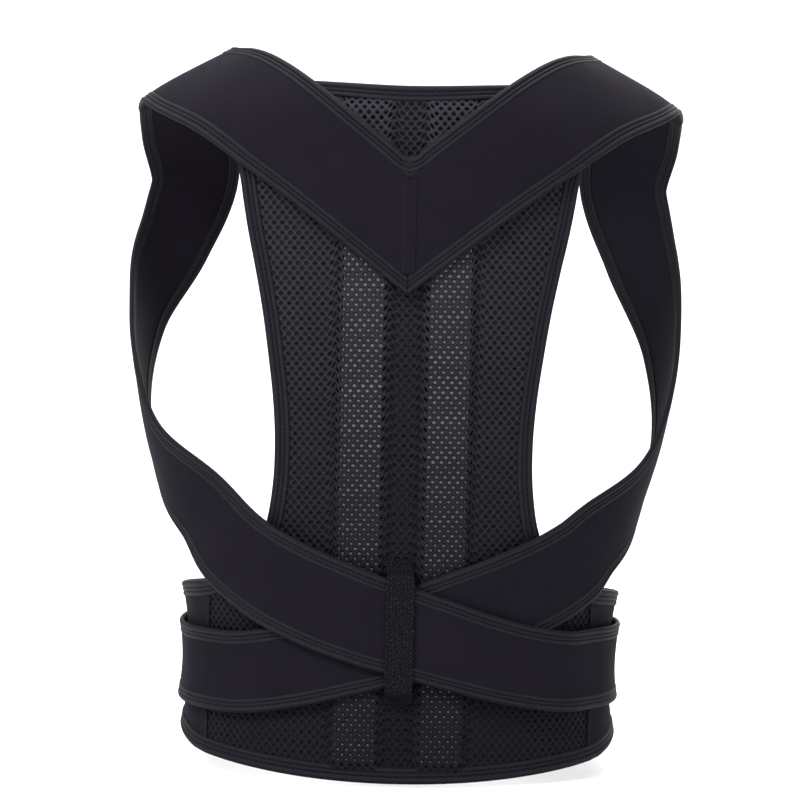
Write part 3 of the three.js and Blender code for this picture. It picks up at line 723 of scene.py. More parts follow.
def sew(group, line, out, pitch=STITCH_PITCH, length=STITCH_LENGTH,
        half=STITCH_HALF, rise=STITCH_RISE):
    """Adds dashes along a line of points to a named group of stitches."""
    run = lengths(line, 0)
    count = int(run[-1] / pitch)
    if count < 1:
        return
    middle = (np.arange(count) + 0.5) * run[-1] / count

    def along(values, places):
        return np.stack([np.interp(places, run, values[:, k]) for k in range(3)], -1)

    centre = along(line, middle)
    normal = unit(along(out, middle))
    ahead = unit(along(line, middle + 0.001) - along(line, middle - 0.001))
    across = np.cross(normal, ahead)
    ends = ahead * length / 2
    body = ahead * length * 0.28
    corners = [centre - ends - normal * STITCH_ROOT]
    for side in (-body, body):
        corners += [centre + side - across * half - normal * STITCH_ROOT,
                    centre + side + normal * rise,
                    centre + side + across * half - normal * STITCH_ROOT]
    corners += [centre + ends - normal * STITCH_ROOT]
    points = np.stack(corners, 1)
    base = (np.arange(count) * 8)[:, None]
    shape = [(0, 2, 1), (0, 3, 2), (1, 2, 5), (1, 5, 4), (2, 3, 6), (2, 6, 5), (4, 5, 7), (5, 6, 7)]
    faces = np.concatenate([base + np.array(tri) for tri in shape])
    stitch_rows.setdefault(group, []).append((points.reshape(-1, 3), faces))


def finish_stitches(group):
    points, faces, start = [], [], 0
    for some, tris in stitch_rows[group]:
        points.append(some)
        faces.append(tris + start)
        start += len(some)
    made = piece(group, np.concatenate(points), np.concatenate(faces), THREAD)
    print(group, "dashes:", start // 8)
    return made


def sew_tape(group, edge, inner, under, over, both=True):
    """Two rows in the tape's grooves, and one through to its inner side."""
    for share in GROOVES:
        base, out = across_tape(edge, inner, share)
        top = np.broadcast_to(over, edge.p.shape[:1]) + STITCH_OVER
        sew(group, base + out * top[:, None], out)
        if both and share == GROOVES[0]:
            low = np.maximum(np.broadcast_to(under, edge.p.shape[:1]) - STITCH_UNDER, LOWEST_STITCH)
            sew(group, base + out * low[:, None], -out)


print("stitch pitch:", STITCH_PITCH / MM, "mm")

# %% [markdown]
# ## A map of the back
# The panel, its stays, their channels and the keeper loop all lie on the back of
# the form. Netting has to be laid out flat, so the back gets a map: how far round
# from the middle, and how high. The map is worked out once on a fine grid, and
# any place on it is then read off by straight interpolation.

# %% Lay out the back
MAP_LOW, MAP_HIGH, MAP_STEP = -0.078, 0.392, 0.0025
MAP_REACH = 0.150


def back_spot(x, z):
    half, deep, square = section(z, np.full(np.shape(z), True))
    share = np.minimum(np.abs(x) / half, 0.985)
    y = -deep * (1 - share**square) ** (1 / square)
    return settle(np.stack([np.sign(x) * share * half, y, z], -1), 8)


def lay_out_back():
    levels = np.arange(MAP_LOW, MAP_HIGH, MAP_STEP)
    x = np.linspace(0, WAIST_HALF, 160)
    xs, zs = np.meshgrid(x, levels, indexing="xy")
    face = back_spot(xs, zs)
    run = lengths(face.p, 1)
    rounds = np.arange(0, MAP_REACH, MAP_STEP)
    x_at = np.stack([np.interp(rounds, run[i], x) for i in range(len(levels))])
    return levels, rounds, x_at, run[:, -1]


map_levels, map_rounds, map_x, map_edge = lay_out_back()
map_face = back_spot(map_x, np.broadcast_to(map_levels[:, None], map_x.shape))


def between(grid, i, j, s, t):
    near = grid[i, j] * (1 - t) + grid[i, j + 1] * t
    far = grid[i + 1, j] * (1 - t) + grid[i + 1, j + 1] * t
    return near * (1 - s) + far * s


def map_cell(round_by, height):
    row = np.clip((height - MAP_LOW) / MAP_STEP, 0, len(map_levels) - 1.001)
    column = np.clip(np.abs(round_by) / MAP_STEP, 0, len(map_rounds) - 1.001)
    i, j = row.astype(int), column.astype(int)
    return i, j, row - i, column - j


def on_back(round_by, height):
    """The seat at a distance round from the middle of the back, and a height."""
    i, j, s, t = map_cell(round_by, height)
    p = between(map_face.p, i, j, s[..., None], t[..., None])
    out = between(map_face.out, i, j, s[..., None], t[..., None])
    mirror = np.stack([np.where(round_by < 0, -1.0, 1.0)] + [np.ones_like(round_by)] * 2, -1)
    return Seat(p * mirror, unit(out * mirror))


def x_on_back(round_by, height):
    i, j, s, t = map_cell(round_by, height)
    return between(map_x, i, j, s, t) * np.sign(round_by)


print("back mapped:", map_face.p.shape[0], "levels, form is", round(2 * map_edge.max(), 3), "m round")

# %% [markdown]
# ## The back panel
# The panel is spacer netting: a knitted face with rows of small oval holes, a
# springy filling, and a plain inner face. From behind it is an hourglass that
# widens into the belt. The inner face and filling are one dark slab. The face is
# a net of its own with real holes, because at this size the holes and the yarn
# round them are what the eye sees.

# %% The panel's outline
PANEL_HALF = 0.122
PANEL_TAPE_WIDTH = 0.009
PANEL = {
    "side": [-0.120, -0.096, -0.022, 0.057, 0.109, 0.131, 0.148, 0.175, 0.216, 0.276, 0.340,
             0.407, 0.471, 0.533, 0.593, 0.653, 0.708, 0.763, 0.828, 0.850, 0.883],
    "wide": [1.000, 1.002, 1.004, 1.004, 1.003, 1.000, 0.863, 0.758, 0.699, 0.660, 0.650,
             0.663, 0.691, 0.724, 0.765, 0.810, 0.843, 0.867, 0.843, 0.822, 0.793],
    "middle": [-0.144, -0.118, -0.035, 0.053, 0.108, 0.131, 0.152, 0.177, 0.216, 0.276, 0.340,
               0.407, 0.471, 0.533, 0.593, 0.653, 0.708, 0.761, 0.800, 0.826, 0.851],
}
BELT_TOP = 0.131
HEM_MIDDLE, HEM_RISE = -0.144, 0.024
NECK_MIDDLE, NECK_RISE, NECK_HALF = 0.851, 0.032, 0.793
HEM_MARGIN = 0.003
SEAM_MARGIN = 0.0008


def panel_row(middle, shares):
    """Seats across the panel at one row, named by its height at the middle."""
    wide = read(PANEL, "middle", "wide", middle) * PANEL_HALF
    side = read(PANEL, "middle", "side", middle)
    x = shares * wide
    return back_spot(x, BACK_HEIGHT * (middle + (side - middle) * shares**2))


def panel_half_at(height):
    return read(PANEL, "side", "wide", height / BACK_HEIGHT) * PANEL_HALF


PANEL_ROWS = np.concatenate([
    np.linspace(HEM_MIDDLE, BELT_TOP, 36), np.linspace(BELT_TOP, NECK_MIDDLE, 90)[1:]])
PANEL_SHARES = np.linspace(-1, 1, 61)
panel_face = stack([panel_row(m, PANEL_SHARES) for m in PANEL_ROWS], 0)
NET_DEEP = 0.0009
panel_lining = sheet_piece("panel_lining", panel_face, REST, PANEL_TOP - NET_DEEP, NET_INNER)
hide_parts("back_panel")
corner = panel_face.p[:-1, :-1]
panel_area = np.linalg.norm(
    np.cross(panel_face.p[1:, :-1] - corner, panel_face.p[:-1, 1:] - corner), axis=-1).sum()
print("panel area:", round(float(panel_area), 4), "m2")

# %% [markdown]
# ## Knitting the net
# The holes sit in staggered rows. A lattice like that splits into diamonds that
# share their corners, one hole to each diamond. Every diamond gets eight corner
# points, an oval rim and a wall that goes down into the cloth. The corners stand
# a little higher than the rim, so the yarn between the holes reads as round.

# %% Knit a net over any part of the form
HOLE_PITCH = 0.0052
KNOT_DROP = 0.00012
RIM_SINK = 0.00028
WALL_SHY = 0.0001
# Painted shade and light in the yarn: how much darker it is made in the valley between the channels and
# towards the belt, where shade falls, and how much lighter at the neck, where light falls. Fitted to one
# photograph.
VALLEY_SHADE, VALLEY_HALF = 0.30, 0.011
BELT_SHADE, BELT_FADE = 0.56, 0.24
NECK_LIGHT, NECK_FROM, NECK_FADE = 0.28, 0.30, 0.05
LOW_KNOT, RIM = 0.78, 0.26
ROW_PITCH = 0.0031
RING = [(2, 0), (1, 1), (0, 2), (-1, 1), (-2, 0), (-1, -1), (0, -2), (1, -1)]


def net_piece(name, place, spread, keep, lift, hole, deep):
    """place turns flat cloth positions into seats; keep says which cells exist."""
    (left, right), (low, high) = spread
    u, v = np.meshgrid(np.arange(int(left / HOLE_PITCH * 2), int(right / HOLE_PITCH * 2) + 1),
                       np.arange(int(low / ROW_PITCH), int(high / ROW_PITCH) + 1))
    centre = np.stack([u[(u + v) % 2 == 0], v[(u + v) % 2 == 0]], -1)
    flat = centre * (HOLE_PITCH / 2, ROW_PITCH)
    kept = keep(flat[:, 0], flat[:, 1])
    centre, flat = centre[kept], flat[kept]
    ring = (2 * centre[:, None] + np.array(RING)).reshape(-1, 2)
    shared, which = np.unique(ring, axis=0, return_inverse=True)
    which = which.reshape(len(centre), 8)
    knots = shared * (HOLE_PITCH / 4, ROW_PITCH / 2)
    high_knot = (np.abs(shared).sum(1) % 2 == 0) & (shared[:, 0] % 2 == 0)
    turn = np.arange(8) * math.pi / 4
    half_wide, half_high = (size[:, None] for size in hole(flat[:, 0], flat[:, 1]))
    rim = flat[:, None] + np.stack([np.cos(turn) * half_wide, np.sin(turn) * half_high], -1)
    rim = rim.reshape(-1, 2)
    knot_seat, rim_seat = place(knots[:, 0], knots[:, 1]), place(rim[:, 0], rim[:, 1])
    knot_lift = lift(knots[:, 0], knots[:, 1]) - np.where(high_knot, 0.0, KNOT_DROP)
    rim_lift = lift(rim[:, 0], rim[:, 1])
    points = np.concatenate([
        knot_seat.lift(knot_lift), rim_seat.lift(rim_lift - RIM_SINK), rim_seat.lift(rim_lift - deep)])
    rims = len(shared) + np.arange(len(rim)).reshape(-1, 8)
    walls = rims + len(rim)
    faces = []
    for k in range(8):
        n = (k + 1) % 8
        faces.append(np.stack([which[:, k], which[:, n], rims[:, n], rims[:, k]], -1))
        faces.append(np.stack([rims[:, k], rims[:, n], walls[:, n], walls[:, k]], -1))
    cloth = np.concatenate([knots, rim, rim])
    height_and_shade = np.concatenate([
        np.where(high_knot, 1.0, LOW_KNOT), np.full(len(rim), RIM), np.zeros(len(rim))])
    # Painted shade and light by place: the yarn's height value is lowered in the valley between the
    # channels and towards the belt, and raised at the neck.
    painted_valley_shade = 1 - VALLEY_SHADE * np.exp(-((cloth[:, 0] / VALLEY_HALF) ** 4))
    belt_shade_neck_light = 1 - BELT_SHADE * np.clip((BELT_FADE - cloth[:, 1]) / BELT_FADE, 0, 1)
    belt_shade_neck_light += NECK_LIGHT * np.clip((cloth[:, 1] - NECK_FROM) / NECK_FADE, 0, 1)
    height_and_shade = height_and_shade * painted_valley_shade * belt_shade_neck_light
    made = piece(name, points, np.concatenate(faces), NET_YARN, cloth, None, height_and_shade)
    print(name, "holes:", len(centre), "triangles:", 32 * len(centre))
    return made


STAY_WIDTH = 0.025
STAY_ACROSS = 0.0265
CHANNEL_LIP = 0.0036
CHANNEL_ROOM = 0.0006
STAY_HALF = STAY_WIDTH / 2
CHANNEL_HALF = STAY_HALF + CHANNEL_ROOM + STAY_WALL + CHANNEL_LIP
SEAM_INSET = 0.0016
PUCKER_RISE = 0.0040
PUCKER_REACH = 0.0045


def from_stay(x):
    return np.abs(np.abs(x) - STAY_ACROSS)


def puckered(x, height):
    """Rows of holes climb towards a channel's seams, where thread draws them up."""
    near = np.abs(from_stay(x) - (CHANNEL_HALF - SEAM_INSET))
    return height + PUCKER_RISE * np.clip(1 - near / PUCKER_REACH, 0, 1)


def on_panel(u, v):
    return on_back(u, puckered(u, v))


def within_hems(u, height):
    share = x_on_back(u, height) / PANEL_HALF
    hem = BACK_HEIGHT * (HEM_MIDDLE + HEM_RISE * share**2) + HEM_MARGIN
    neck = BACK_HEIGHT * (NECK_MIDDLE + NECK_RISE * (share / NECK_HALF) ** 2) - HEM_MARGIN
    return (height > hem) & (height < neck)


def panel_cells(u, v):
    height = puckered(u, v)
    x = np.abs(x_on_back(u, height))
    margin = np.where(height < BELT_TOP * BACK_HEIGHT, SEAM_MARGIN, HEM_MARGIN)
    inside = (x < panel_half_at(height) - margin) & within_hems(u, height)
    return inside & (from_stay(x) > CHANNEL_HALF - 0.003)


def panel_lift(u, v):
    near = np.abs(from_stay(u) - (CHANNEL_HALF - SEAM_INSET))
    ripple = np.sin(u * 61.0 + np.sin(v * 23.0) * 2.0) * np.sin(v * 37.0 + 1.0) * 0.00012
    return PANEL_TOP + ripple - 0.0003 * np.clip(1 - near / 0.003, 0, 1)


HOLE = (0.00118, 0.00090)
SLOT_WIDER = 0.00032


def panel_hole(u, v):
    """Between the channels the knit is drawn sideways, and its holes are slots."""
    drawn = np.exp(-((u / VALLEY_HALF) ** 4))
    uneven = 1 + 0.08 * np.sin(u * 911.0 + v * 407.0)
    return (HOLE[0] + SLOT_WIDER * drawn) * uneven, (HOLE[1] - 0.00008 * drawn) * uneven


panel_net = net_piece("panel_net", on_panel, ((-0.15, 0.15), (-0.07, 0.39)), panel_cells,
                      panel_lift, panel_hole, NET_DEEP - WALL_SHY)

# %% [markdown]
# ## Stays and their channels
# Two flat springs of light plastic keep the back straight. Each slides into a
# channel, a strip of the same netting sewn down along both sides, and shows
# through its holes as rows of pale dots. The stays end under the yoke, so the
# window above it stays dark.

# %% Stays
STAY_LOW, STAY_HIGH = -0.118, 0.708
STAY_ROWS = np.linspace(STAY_LOW, STAY_HIGH, 90)


def strip_face(side, offsets, rows):
    rounds = side * STAY_ACROSS + offsets
    grid = [on_back(rounds, np.full(len(rounds), r * BACK_HEIGHT)) for r in rows]
    return stack(grid, 0)


def make_stay(side, name):
    offsets = np.linspace(-STAY_HALF, STAY_HALF, 9)
    face = strip_face(side, offsets, STAY_ROWS)
    crown = 0.00015 * (1 - (offsets / STAY_HALF) ** 4)
    under = np.full(face.p.shape[:2], PANEL_TOP + GAP)
    made = sheet_piece("flat_" + name, face, under, under + STAY_WALL + crown, STAY_PLASTIC)
    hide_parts(name)


for side, name in ((-1, "stay_left"), (1, "stay_right")):
    make_stay(side, name)
print("stay length:", round((STAY_HIGH - STAY_LOW) * BACK_HEIGHT, 3), "m")

# %% Channels
CHANNEL_LOW, CHANNEL_HIGH = -0.118, 0.818
TUCK = 0.007
CHANNEL_HOLE = (0.00112, 0.00092)
# The channels' holes close up by a third towards the belt.
CLOSED_BY, CLOSED_FROM, CLOSED_OVER = 0.34, 0.16, 0.15


def channel_hole(u, v):
    uneven = 1 + 0.14 * np.sin(u * 1303.0 + v * 611.0) * np.sin(v * 97.0 + u * 31.0)
    closed = 1 - CLOSED_BY * np.clip((CLOSED_FROM - v) / CLOSED_OVER, 0, 1)
    return CHANNEL_HOLE[0] * uneven * closed, CHANNEL_HOLE[1] * uneven * closed


def channel_rise(x, height):
    """The netting climbs from its sewn lip over the stay, and ends under a tape."""
    off = from_stay(x)
    t = np.clip((CHANNEL_HALF - CHANNEL_LIP * 0.55 - off) / (CHANNEL_LIP * 0.8), 0, 1)
    lip = PANEL_TOP + GAP + CHANNEL_WALL
    low, high = CHANNEL_LOW * BACK_HEIGHT, CHANNEL_HIGH * BACK_HEIGHT
    tucked = np.clip((height - low) / TUCK + 1, 0, 1) * np.clip((high - height) / TUCK + 1, 0, 1)
    return PANEL_TOP + (lip - PANEL_TOP + (STAY_WALL + GAP) * t * t * (3 - 2 * t)) * tucked


def channel_cells(side):
    def keep(u, v):
        inside = np.abs(u - side * STAY_ACROSS) < CHANNEL_HALF - 0.0004
        return inside & within_hems(u, puckered(u, v))
    return keep


def channel_lift(u, v):
    seam = np.abs(from_stay(u) - (CHANNEL_HALF - SEAM_INSET))
    return channel_rise(u, puckered(u, v)) - 0.00045 * np.clip(1 - seam / 0.0018, 0, 1)


def sew_channel(side, name):
    spread = ((side * STAY_ACROSS - 0.02, side * STAY_ACROSS + 0.02), (-0.07, 0.37))
    net = net_piece("net_" + name, on_panel, spread, channel_cells(side), channel_lift,
                    channel_hole, CHANNEL_WALL - WALL_SHY)
    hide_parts(name)
    heights = np.linspace(CHANNEL_LOW, CHANNEL_HIGH, 200) * BACK_HEIGHT
    for turn in (-1, 1):
        rounds = np.full(200, side * STAY_ACROSS + turn * (CHANNEL_HALF - SEAM_INSET))
        seam = on_back(rounds, heights)
        top = channel_lift(rounds, heights)
        sew("channel_stitches", seam.lift(top - 0.0001), seam.out, 0.0031, 0.0023)
    return net


channel_nets = [sew_channel(side, name) for side, name in ((-1, "channel_left"), (1, "channel_right"))]
channel_stitches = finish_stitches("channel_stitches")

# %% [markdown]
# ## Belt wings
# From the panel's side seams the belt runs on as smooth cloth, round to the
# front, where one wing laps over the other and a hook patch holds them. The
# wings get gently lower towards the front, and the outer one climbs over the
# inner just before the middle.

# %% Wings round to the front
WING = {
    "turn": [60, 90, 120, 150, 180, 200],
    "top": [0.130, 0.120, 0.113, 0.101, 0.092, 0.087],
    "bottom": [-0.118, -0.092, -0.097, -0.097, -0.092, -0.087],
}
WING_OVERLAP = 0.035
WING_RAMP = (158, 167)
LAST_TURN = 180 + math.degrees(math.asin(WING_OVERLAP / WAIST_HALF)) * 0.8
WING_TURNS = np.concatenate([[60.0, 60.0], np.linspace(62, LAST_TURN, 96)])
SEAM_LAP = 0.0034
SEAM_WALL = 0.0006
WING_LEVELS = np.linspace(0, 1, 23)


def ring_spot(turn, z, side):
    angle = np.radians(turn)
    half, deep, square = section(z, np.cos(angle) > 0)
    sine, cosine = np.sin(angle), np.cos(angle)
    x = half * np.sign(sine) * np.abs(sine) ** (2 / square)
    y = -deep * np.sign(cosine) * np.abs(cosine) ** (2 / square)
    return settle(np.stack([side * x, y, z], -1), 8)


def smooth(at, low, high):
    t = np.clip((at - low) / (high - low), 0, 1)
    return t * t * (3 - 2 * t)


def panel_edge(side, rows):
    return join([panel_row(m, np.array([side * 1.0])) for m in rows])


def wing_face(side):
    low, high = HEM_MIDDLE, BELT_TOP
    rows = low + (high - low) * WING_LEVELS
    edge = panel_edge(side, rows)
    lap = edge.walk(np.array([-side * 1.0, 0, 0]), np.full(len(rows), SEAM_LAP))
    seam = edge.walk(np.array([side * 1.0, 0, 0]), np.full(len(rows), GAP))
    turns = WING_TURNS[2:]
    bottom = read(WING, "turn", "bottom", turns) * BACK_HEIGHT
    top = read(WING, "turn", "top", turns) * BACK_HEIGHT
    heights = bottom[:, None] + (top - bottom)[:, None] * WING_LEVELS
    rest = ring_spot(np.broadcast_to(turns[:, None], heights.shape), heights, side)
    return join([Seat(first.p[None], first.out[None]) for first in (lap, seam)] + [rest])


def wing_lift(outer):
    return REST + (OVER_WING * smooth(WING_TURNS, *WING_RAMP) if outer else 0 * WING_TURNS)


wings = {}
for side, name in ((-1, "left"), (1, "right")):
    face = wing_face(side)
    lift = wing_lift(side > 0)
    under, over = lift.copy(), lift + PANEL_WALL
    under[0], over[0] = PANEL_TOP + 0.0001, PANEL_TOP + SEAM_WALL
    over[1] = PANEL_TOP + 0.0003
    made = sheet_piece("wing_" + name, face, under[:, None], over[:, None],
                       STRAP_CLOTH)
    line = settle((face.p[0] + face.p[1])[2:-2] / 2, 4)
    sew("panel_stitches", line.lift(np.full(len(line.p), PANEL_TOP + 0.0005)), line.out,
        0.0030, 0.0023)
    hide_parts("belt_wing_" + name)
    wings[name] = (made, face, lift)
    print("wing", name, "length:", round(float(lengths(face.p, 0)[-1, 11]), 3), "m")

# %% Tape round the panel and the belt
def inward(edge, width, side):
    """The seats where a tape's inner side lies, square to its edge."""
    along = np.gradient(edge.p, axis=0)
    return edge.walk(np.cross(along, edge.out) * side, np.full(len(edge.p), width))


def wing_edge(name, top):
    made, face, lift = wings[name]
    return face[:, -1 if top else 0], lift


# Rows down the panel's side, closer together where the tape turns into the belt.
SIDE_ROWS = np.concatenate([np.linspace(0.826, 0.20, 70), np.linspace(0.195, BELT_TOP + 0.002, 22)])


def side_run(side, name):
    panel = panel_edge(side, SIDE_ROWS)
    wing, lift = wing_edge(name, True)
    return join([panel, wing[2:]]), np.concatenate([np.full(len(SIDE_ROWS), REST), lift[2:]])


def hem_run():
    left, left_lift = wing_edge("left", False)
    right, right_lift = wing_edge("right", False)
    hem = panel_row(HEM_MIDDLE, np.linspace(-1, 1, 90))
    edge = join([left[2:][::-1], hem, right[2:]])
    return edge, np.concatenate([left_lift[2:][::-1], np.full(90, REST), right_lift[2:]])


def bind_edge(name, group, edge, inner, lift, wall):
    sew_tape(group, edge, inner, lift, lift + wall)
    return binding(name, edge, inner, lift, lift + wall)


def bind(name, node, edge, lift, side):
    inner = inward(edge, PANEL_TAPE_WIDTH, side)
    made = bind_edge(name, "panel_stitches", edge, inner, lift, PANEL_WALL)
    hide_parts(node)
    return made


left_run, left_lift = side_run(-1, "left")
right_run, right_lift = side_run(1, "right")
hem_edge, hem_lift = hem_run()
neck_edge = panel_row(NECK_MIDDLE, np.linspace(-1, 1, 70))
panel_tapes = [
    bind("tape_side_left", "side_tape_left", left_run, left_lift, -1),
    bind("tape_side_right", "side_tape_right", right_run, right_lift, 1),
    bind("tape_hem", "hem_tape", hem_edge, hem_lift, -1),
    bind("tape_neck", "neck_tape", neck_edge, np.full(70, REST), 1),
]
panel_stitches = finish_stitches("panel_stitches")

# %% [markdown]
# ## Shoulder straps
# Each strap is one long ribbon of brushed cloth. It starts at the yoke's middle
# seam, climbs over the shoulder, comes down in front, passes back under the arm
# and crosses the other strap on the lower back before it goes round to the front
# of the belt. Its middle line is a smooth curve through a short table of places.
# The ribbon is spread sideways along the form from that line, and it is lifted
# wherever it passes over the panel or the other strap.

# %% The strap's middle line
SHOULDER_WIDTH = 0.067
STRAP_TAPE_WIDTH = 0.008
CROSSING_DROP = 0.020
YOKE_CUT = 0.045
STRAP_STEPS = 260
STRAP = {
    "across": [0.003, 0.333, 0.578, 0.770, 0.828, 0.845, 0.861, 0.906, 0.961, 0.989, 0.950, 0.761,
               0.561, 0.406, 0.267, 0.100, -0.056, -0.289, -0.422, -0.572, -0.700, -0.767,
               -0.690, -0.483],
    "deep": [-1.04, -1.02, -0.85, -0.52, -0.10, 0.34, 0.70, 0.60, 0.29, 0.00, -0.24, -0.62,
             -0.75, -0.82, -0.86, -0.88, -0.88, -0.85, -0.80, -0.70, -0.50, -0.08, 0.47, 0.74],
    "up": [0.651, 0.759, 0.832, 0.877, 0.887, 0.838, 0.765, 0.665, 0.552, 0.437, 0.329, 0.246,
           0.175, 0.138, 0.113, 0.088, 0.069, 0.040, 0.026, 0.016, 0.016, 0.018, 0.018, 0.014],
    "wide": [0.94, 0.95, 0.97, 1.00, 1.03, 1.00, 0.96, 0.92, 0.89, 0.87, 0.86, 0.85,
             0.86, 0.87, 0.87, 0.85, 0.82, 0.78, 0.77, 0.77, 0.77, 0.76, 0.75, 0.73],
    "layer": [1, 1, 1, 0.4, 0, 0, 0, 0, 0, 0, 0, 0.4,
              1.4, 1.9, 2, 2, 2, 2, 2, 2, 1.1, 0.75, 0.75, 0.8],
    "drop": [0, 0, 0, 0, 0, 0, 0, 0.2, 0.7, 1, 1, 0.8,
             0.4, 0.28, 0.25, 0.25, 0.25, 0.25, 0.25, 0.25, 0.25, 0.2, 0.1, 0],
}


def ribbon_curve(marks, seat):
    """A centripetal curve through marks, at places given in marks passed."""
    ends = np.concatenate([[2 * marks[0] - marks[1]], marks, [2 * marks[-1] - marks[-2]]])
    i = np.minimum(seat.astype(int), len(marks) - 2)
    t = (seat - i)[:, None]
    a, b, c, d = (ends[i + k] for k in range(4))
    ab, bc, cd = (np.sqrt(np.linalg.norm(q - p, axis=1))[:, None]
                  for p, q in ((a, b), (b, c), (c, d)))
    start = ((b - a) / ab - (c - a) / (ab + bc) + (c - b) / bc) * bc
    end = ((c - b) / bc - (d - b) / (bc + cd) + (d - c) / cd) * bc
    return (b + start * t + (3 * (c - b) - 2 * start - end) * t**2
            + (2 * (b - c) + start + end) * t**3)


def strap_lift(layer):
    return REST + OVER_PANEL * np.minimum(layer, 1) + OVER_STRAP * np.maximum(layer - 1, 0)


def strap_line(side, topmost):
    table = {key: np.array(value, float) for key, value in STRAP.items()}
    drop = 0 if topmost else CROSSING_DROP
    marks = settle(np.stack([side * table["across"] * CHEST_HALF, table["deep"] * CHEST_DEEP,
                             table["up"] * BACK_HEIGHT - table["drop"] * drop], -1)).p
    marks[0, 0] = side * GAP / 2
    seat = np.linspace(0, len(marks) - 1, 6000)
    dense = ribbon_curve(marks, seat)
    run = lengths(dense, 0)
    at = np.interp(np.linspace(0, run[-1], STRAP_STEPS), run, seat)
    middle = settle(ribbon_curve(marks, at))
    after, before = np.minimum(at + 1e-4, at[-1]), np.maximum(at - 1e-4, 0)
    ahead = unit(ribbon_curve(marks, after) - ribbon_curve(marks, before))
    row = np.minimum(at.astype(int), len(marks) - 2)
    blend = smooth(at - row, 0, 1)

    def mix(column):
        return table[column][row] * (1 - blend) + table[column][row + 1] * blend

    layer = mix("layer") if topmost else np.minimum(mix("layer"), 1)
    return middle, ahead, mix("wide") * SHOULDER_WIDTH / 2, strap_lift(layer), float(run[-1])


# %% Spread the ribbon and bind its edges
CLOTH_STEPS = 7
TAPE_STEPS = 3


def strap_ribbon(side, topmost):
    """Seats across the strap, from its neck edge to its arm edge."""
    middle, ahead, half, lift, length = strap_line(side, topmost)
    cross = unit(np.cross(middle.out, ahead) * side)
    square = np.clip(1 - np.linspace(0, length, STRAP_STEPS) / YOKE_CUT, 0, 1)
    slant = square * ahead[:, 2] / np.maximum(np.hypot(ahead[:, 0], ahead[:, 1]), 1e-6)
    cross = cross + ahead * slant[:, None]
    stretch = np.linalg.norm(cross, axis=1)
    columns = [middle]
    for way in (1, -1):
        spots, here = [], middle
        for k in range(CLOTH_STEPS + TAPE_STEPS):
            on_cloth = k < CLOTH_STEPS
            wide = (half - STRAP_TAPE_WIDTH) / CLOTH_STEPS if on_cloth else STRAP_TAPE_WIDTH / TAPE_STEPS
            here = here.walk(cross * way, wide * stretch)
            spots.append(here)
        columns = spots[::-1] + columns if way > 0 else columns + spots
    return stack(columns, 1), lift, length


def make_strap(side, topmost, name):
    face, lift, length = strap_ribbon(side, topmost)
    count = face.p.shape[1]
    inset = face[:, 1:-1]
    across = np.abs(np.linspace(-1, 1, count - 2))
    crown = 0.0005 * (1 - across**6)
    made = sheet_piece("strap_" + name, inset, lift[:, None], lift[:, None] + STRAP_WALL + crown,
                       STRAP_CLOTH)
    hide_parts("shoulder_strap_" + name)
    tapes = []
    last = count - 1
    for edge_name, edge, inner in (("neck", 0, TAPE_STEPS), ("arm", last, last - TAPE_STEPS)):
        tape = bind_edge(f"tape_{name}_{edge_name}", "strap_stitches_" + name,
                         face[:, edge], face[:, inner], lift, STRAP_WALL)
        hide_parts(f"strap_tape_{name}_{edge_name}")
        tapes.append(tape)
    tapes.append(finish_stitches("strap_stitches_" + name))
    print("strap", name, "length:", round(length, 3), "m")
    return made, tapes, face


left_strap = make_strap(-1, True, "left")
right_strap = make_strap(1, False, "right")

# %% [markdown]
# ## Yoke seam and keeper loop
# The two straps meet in the middle of the back under a narrow tape sewn down
# along both sides. Lower down, a short band of coarse woven elastic keeps them
# together where they cross. Its weave is a herringbone, which is modelled here as
# small ridges that change direction from column to column, and both its ends
# are sewn down with a dense row of stitches.

# %% Yoke seam
SEAM_TAPE_WIDTH = 0.009
SEAM_TAPE_WALL = 0.0008


def yoke_seam():
    face = left_strap[2]
    top, bottom = face.p[0, TAPE_STEPS, 2], face.p[0, -1 - TAPE_STEPS, 2]
    top, bottom = max(top, bottom), min(top, bottom)
    heights = np.linspace(bottom + 0.002, top - 0.001, 40)
    rounds = np.linspace(-SEAM_TAPE_WIDTH / 2, SEAM_TAPE_WIDTH / 2, 9)
    grid = stack([on_back(rounds, np.full(9, z)) for z in heights], 0)
    under = strap_lift(1.0) + STRAP_WALL + 0.0004
    over = under + SEAM_TAPE_WALL * 0.6
    crown = 0.0002 * (1 - np.abs(np.linspace(-1, 1, 9)) ** 4)
    made = sheet_piece("seam_tape", grid, under, over + crown, STRAP_CLOTH)
    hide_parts("yoke_seam")
    for column in (1, 7):
        line = grid[:, column]
        sew("seam_stitches", line.lift(np.full(40, over + 0.0001)), line.out, 0.0045, 0.0028)
    return made


LAP_LEFT, LAP_RIGHT, LAP_ROUND = -0.0055, 0.0075, 0.004
YOKE_SLOPE = 0.62


def yoke_lap():
    """The right strap's tape runs round the bottom of the neckline's V."""
    low = left_strap[2].p[0, 0, 2]
    x = np.linspace(LAP_LEFT, LAP_RIGHT, 30)
    fill = math.hypot(LAP_RIGHT, LAP_ROUND) - LAP_RIGHT
    edge = back_spot(x, low + YOKE_SLOPE * (np.hypot(x, LAP_ROUND) - fill))
    inner = edge.walk(np.array([0.0, 0.0, -1.0]), np.full(30, STRAP_TAPE_WIDTH * 1.1))
    lift = np.full(30, strap_lift(1.0))
    made = binding("yoke_lap", edge, inner, lift - 0.0004, lift + STRAP_WALL + 0.0005)
    sew_tape("seam_stitches", edge, inner, lift, lift + STRAP_WALL + 0.0005, both=False)
    return made


seam_tape = yoke_seam()
seam_lap = yoke_lap()
seam_stitches = finish_stitches("seam_stitches")

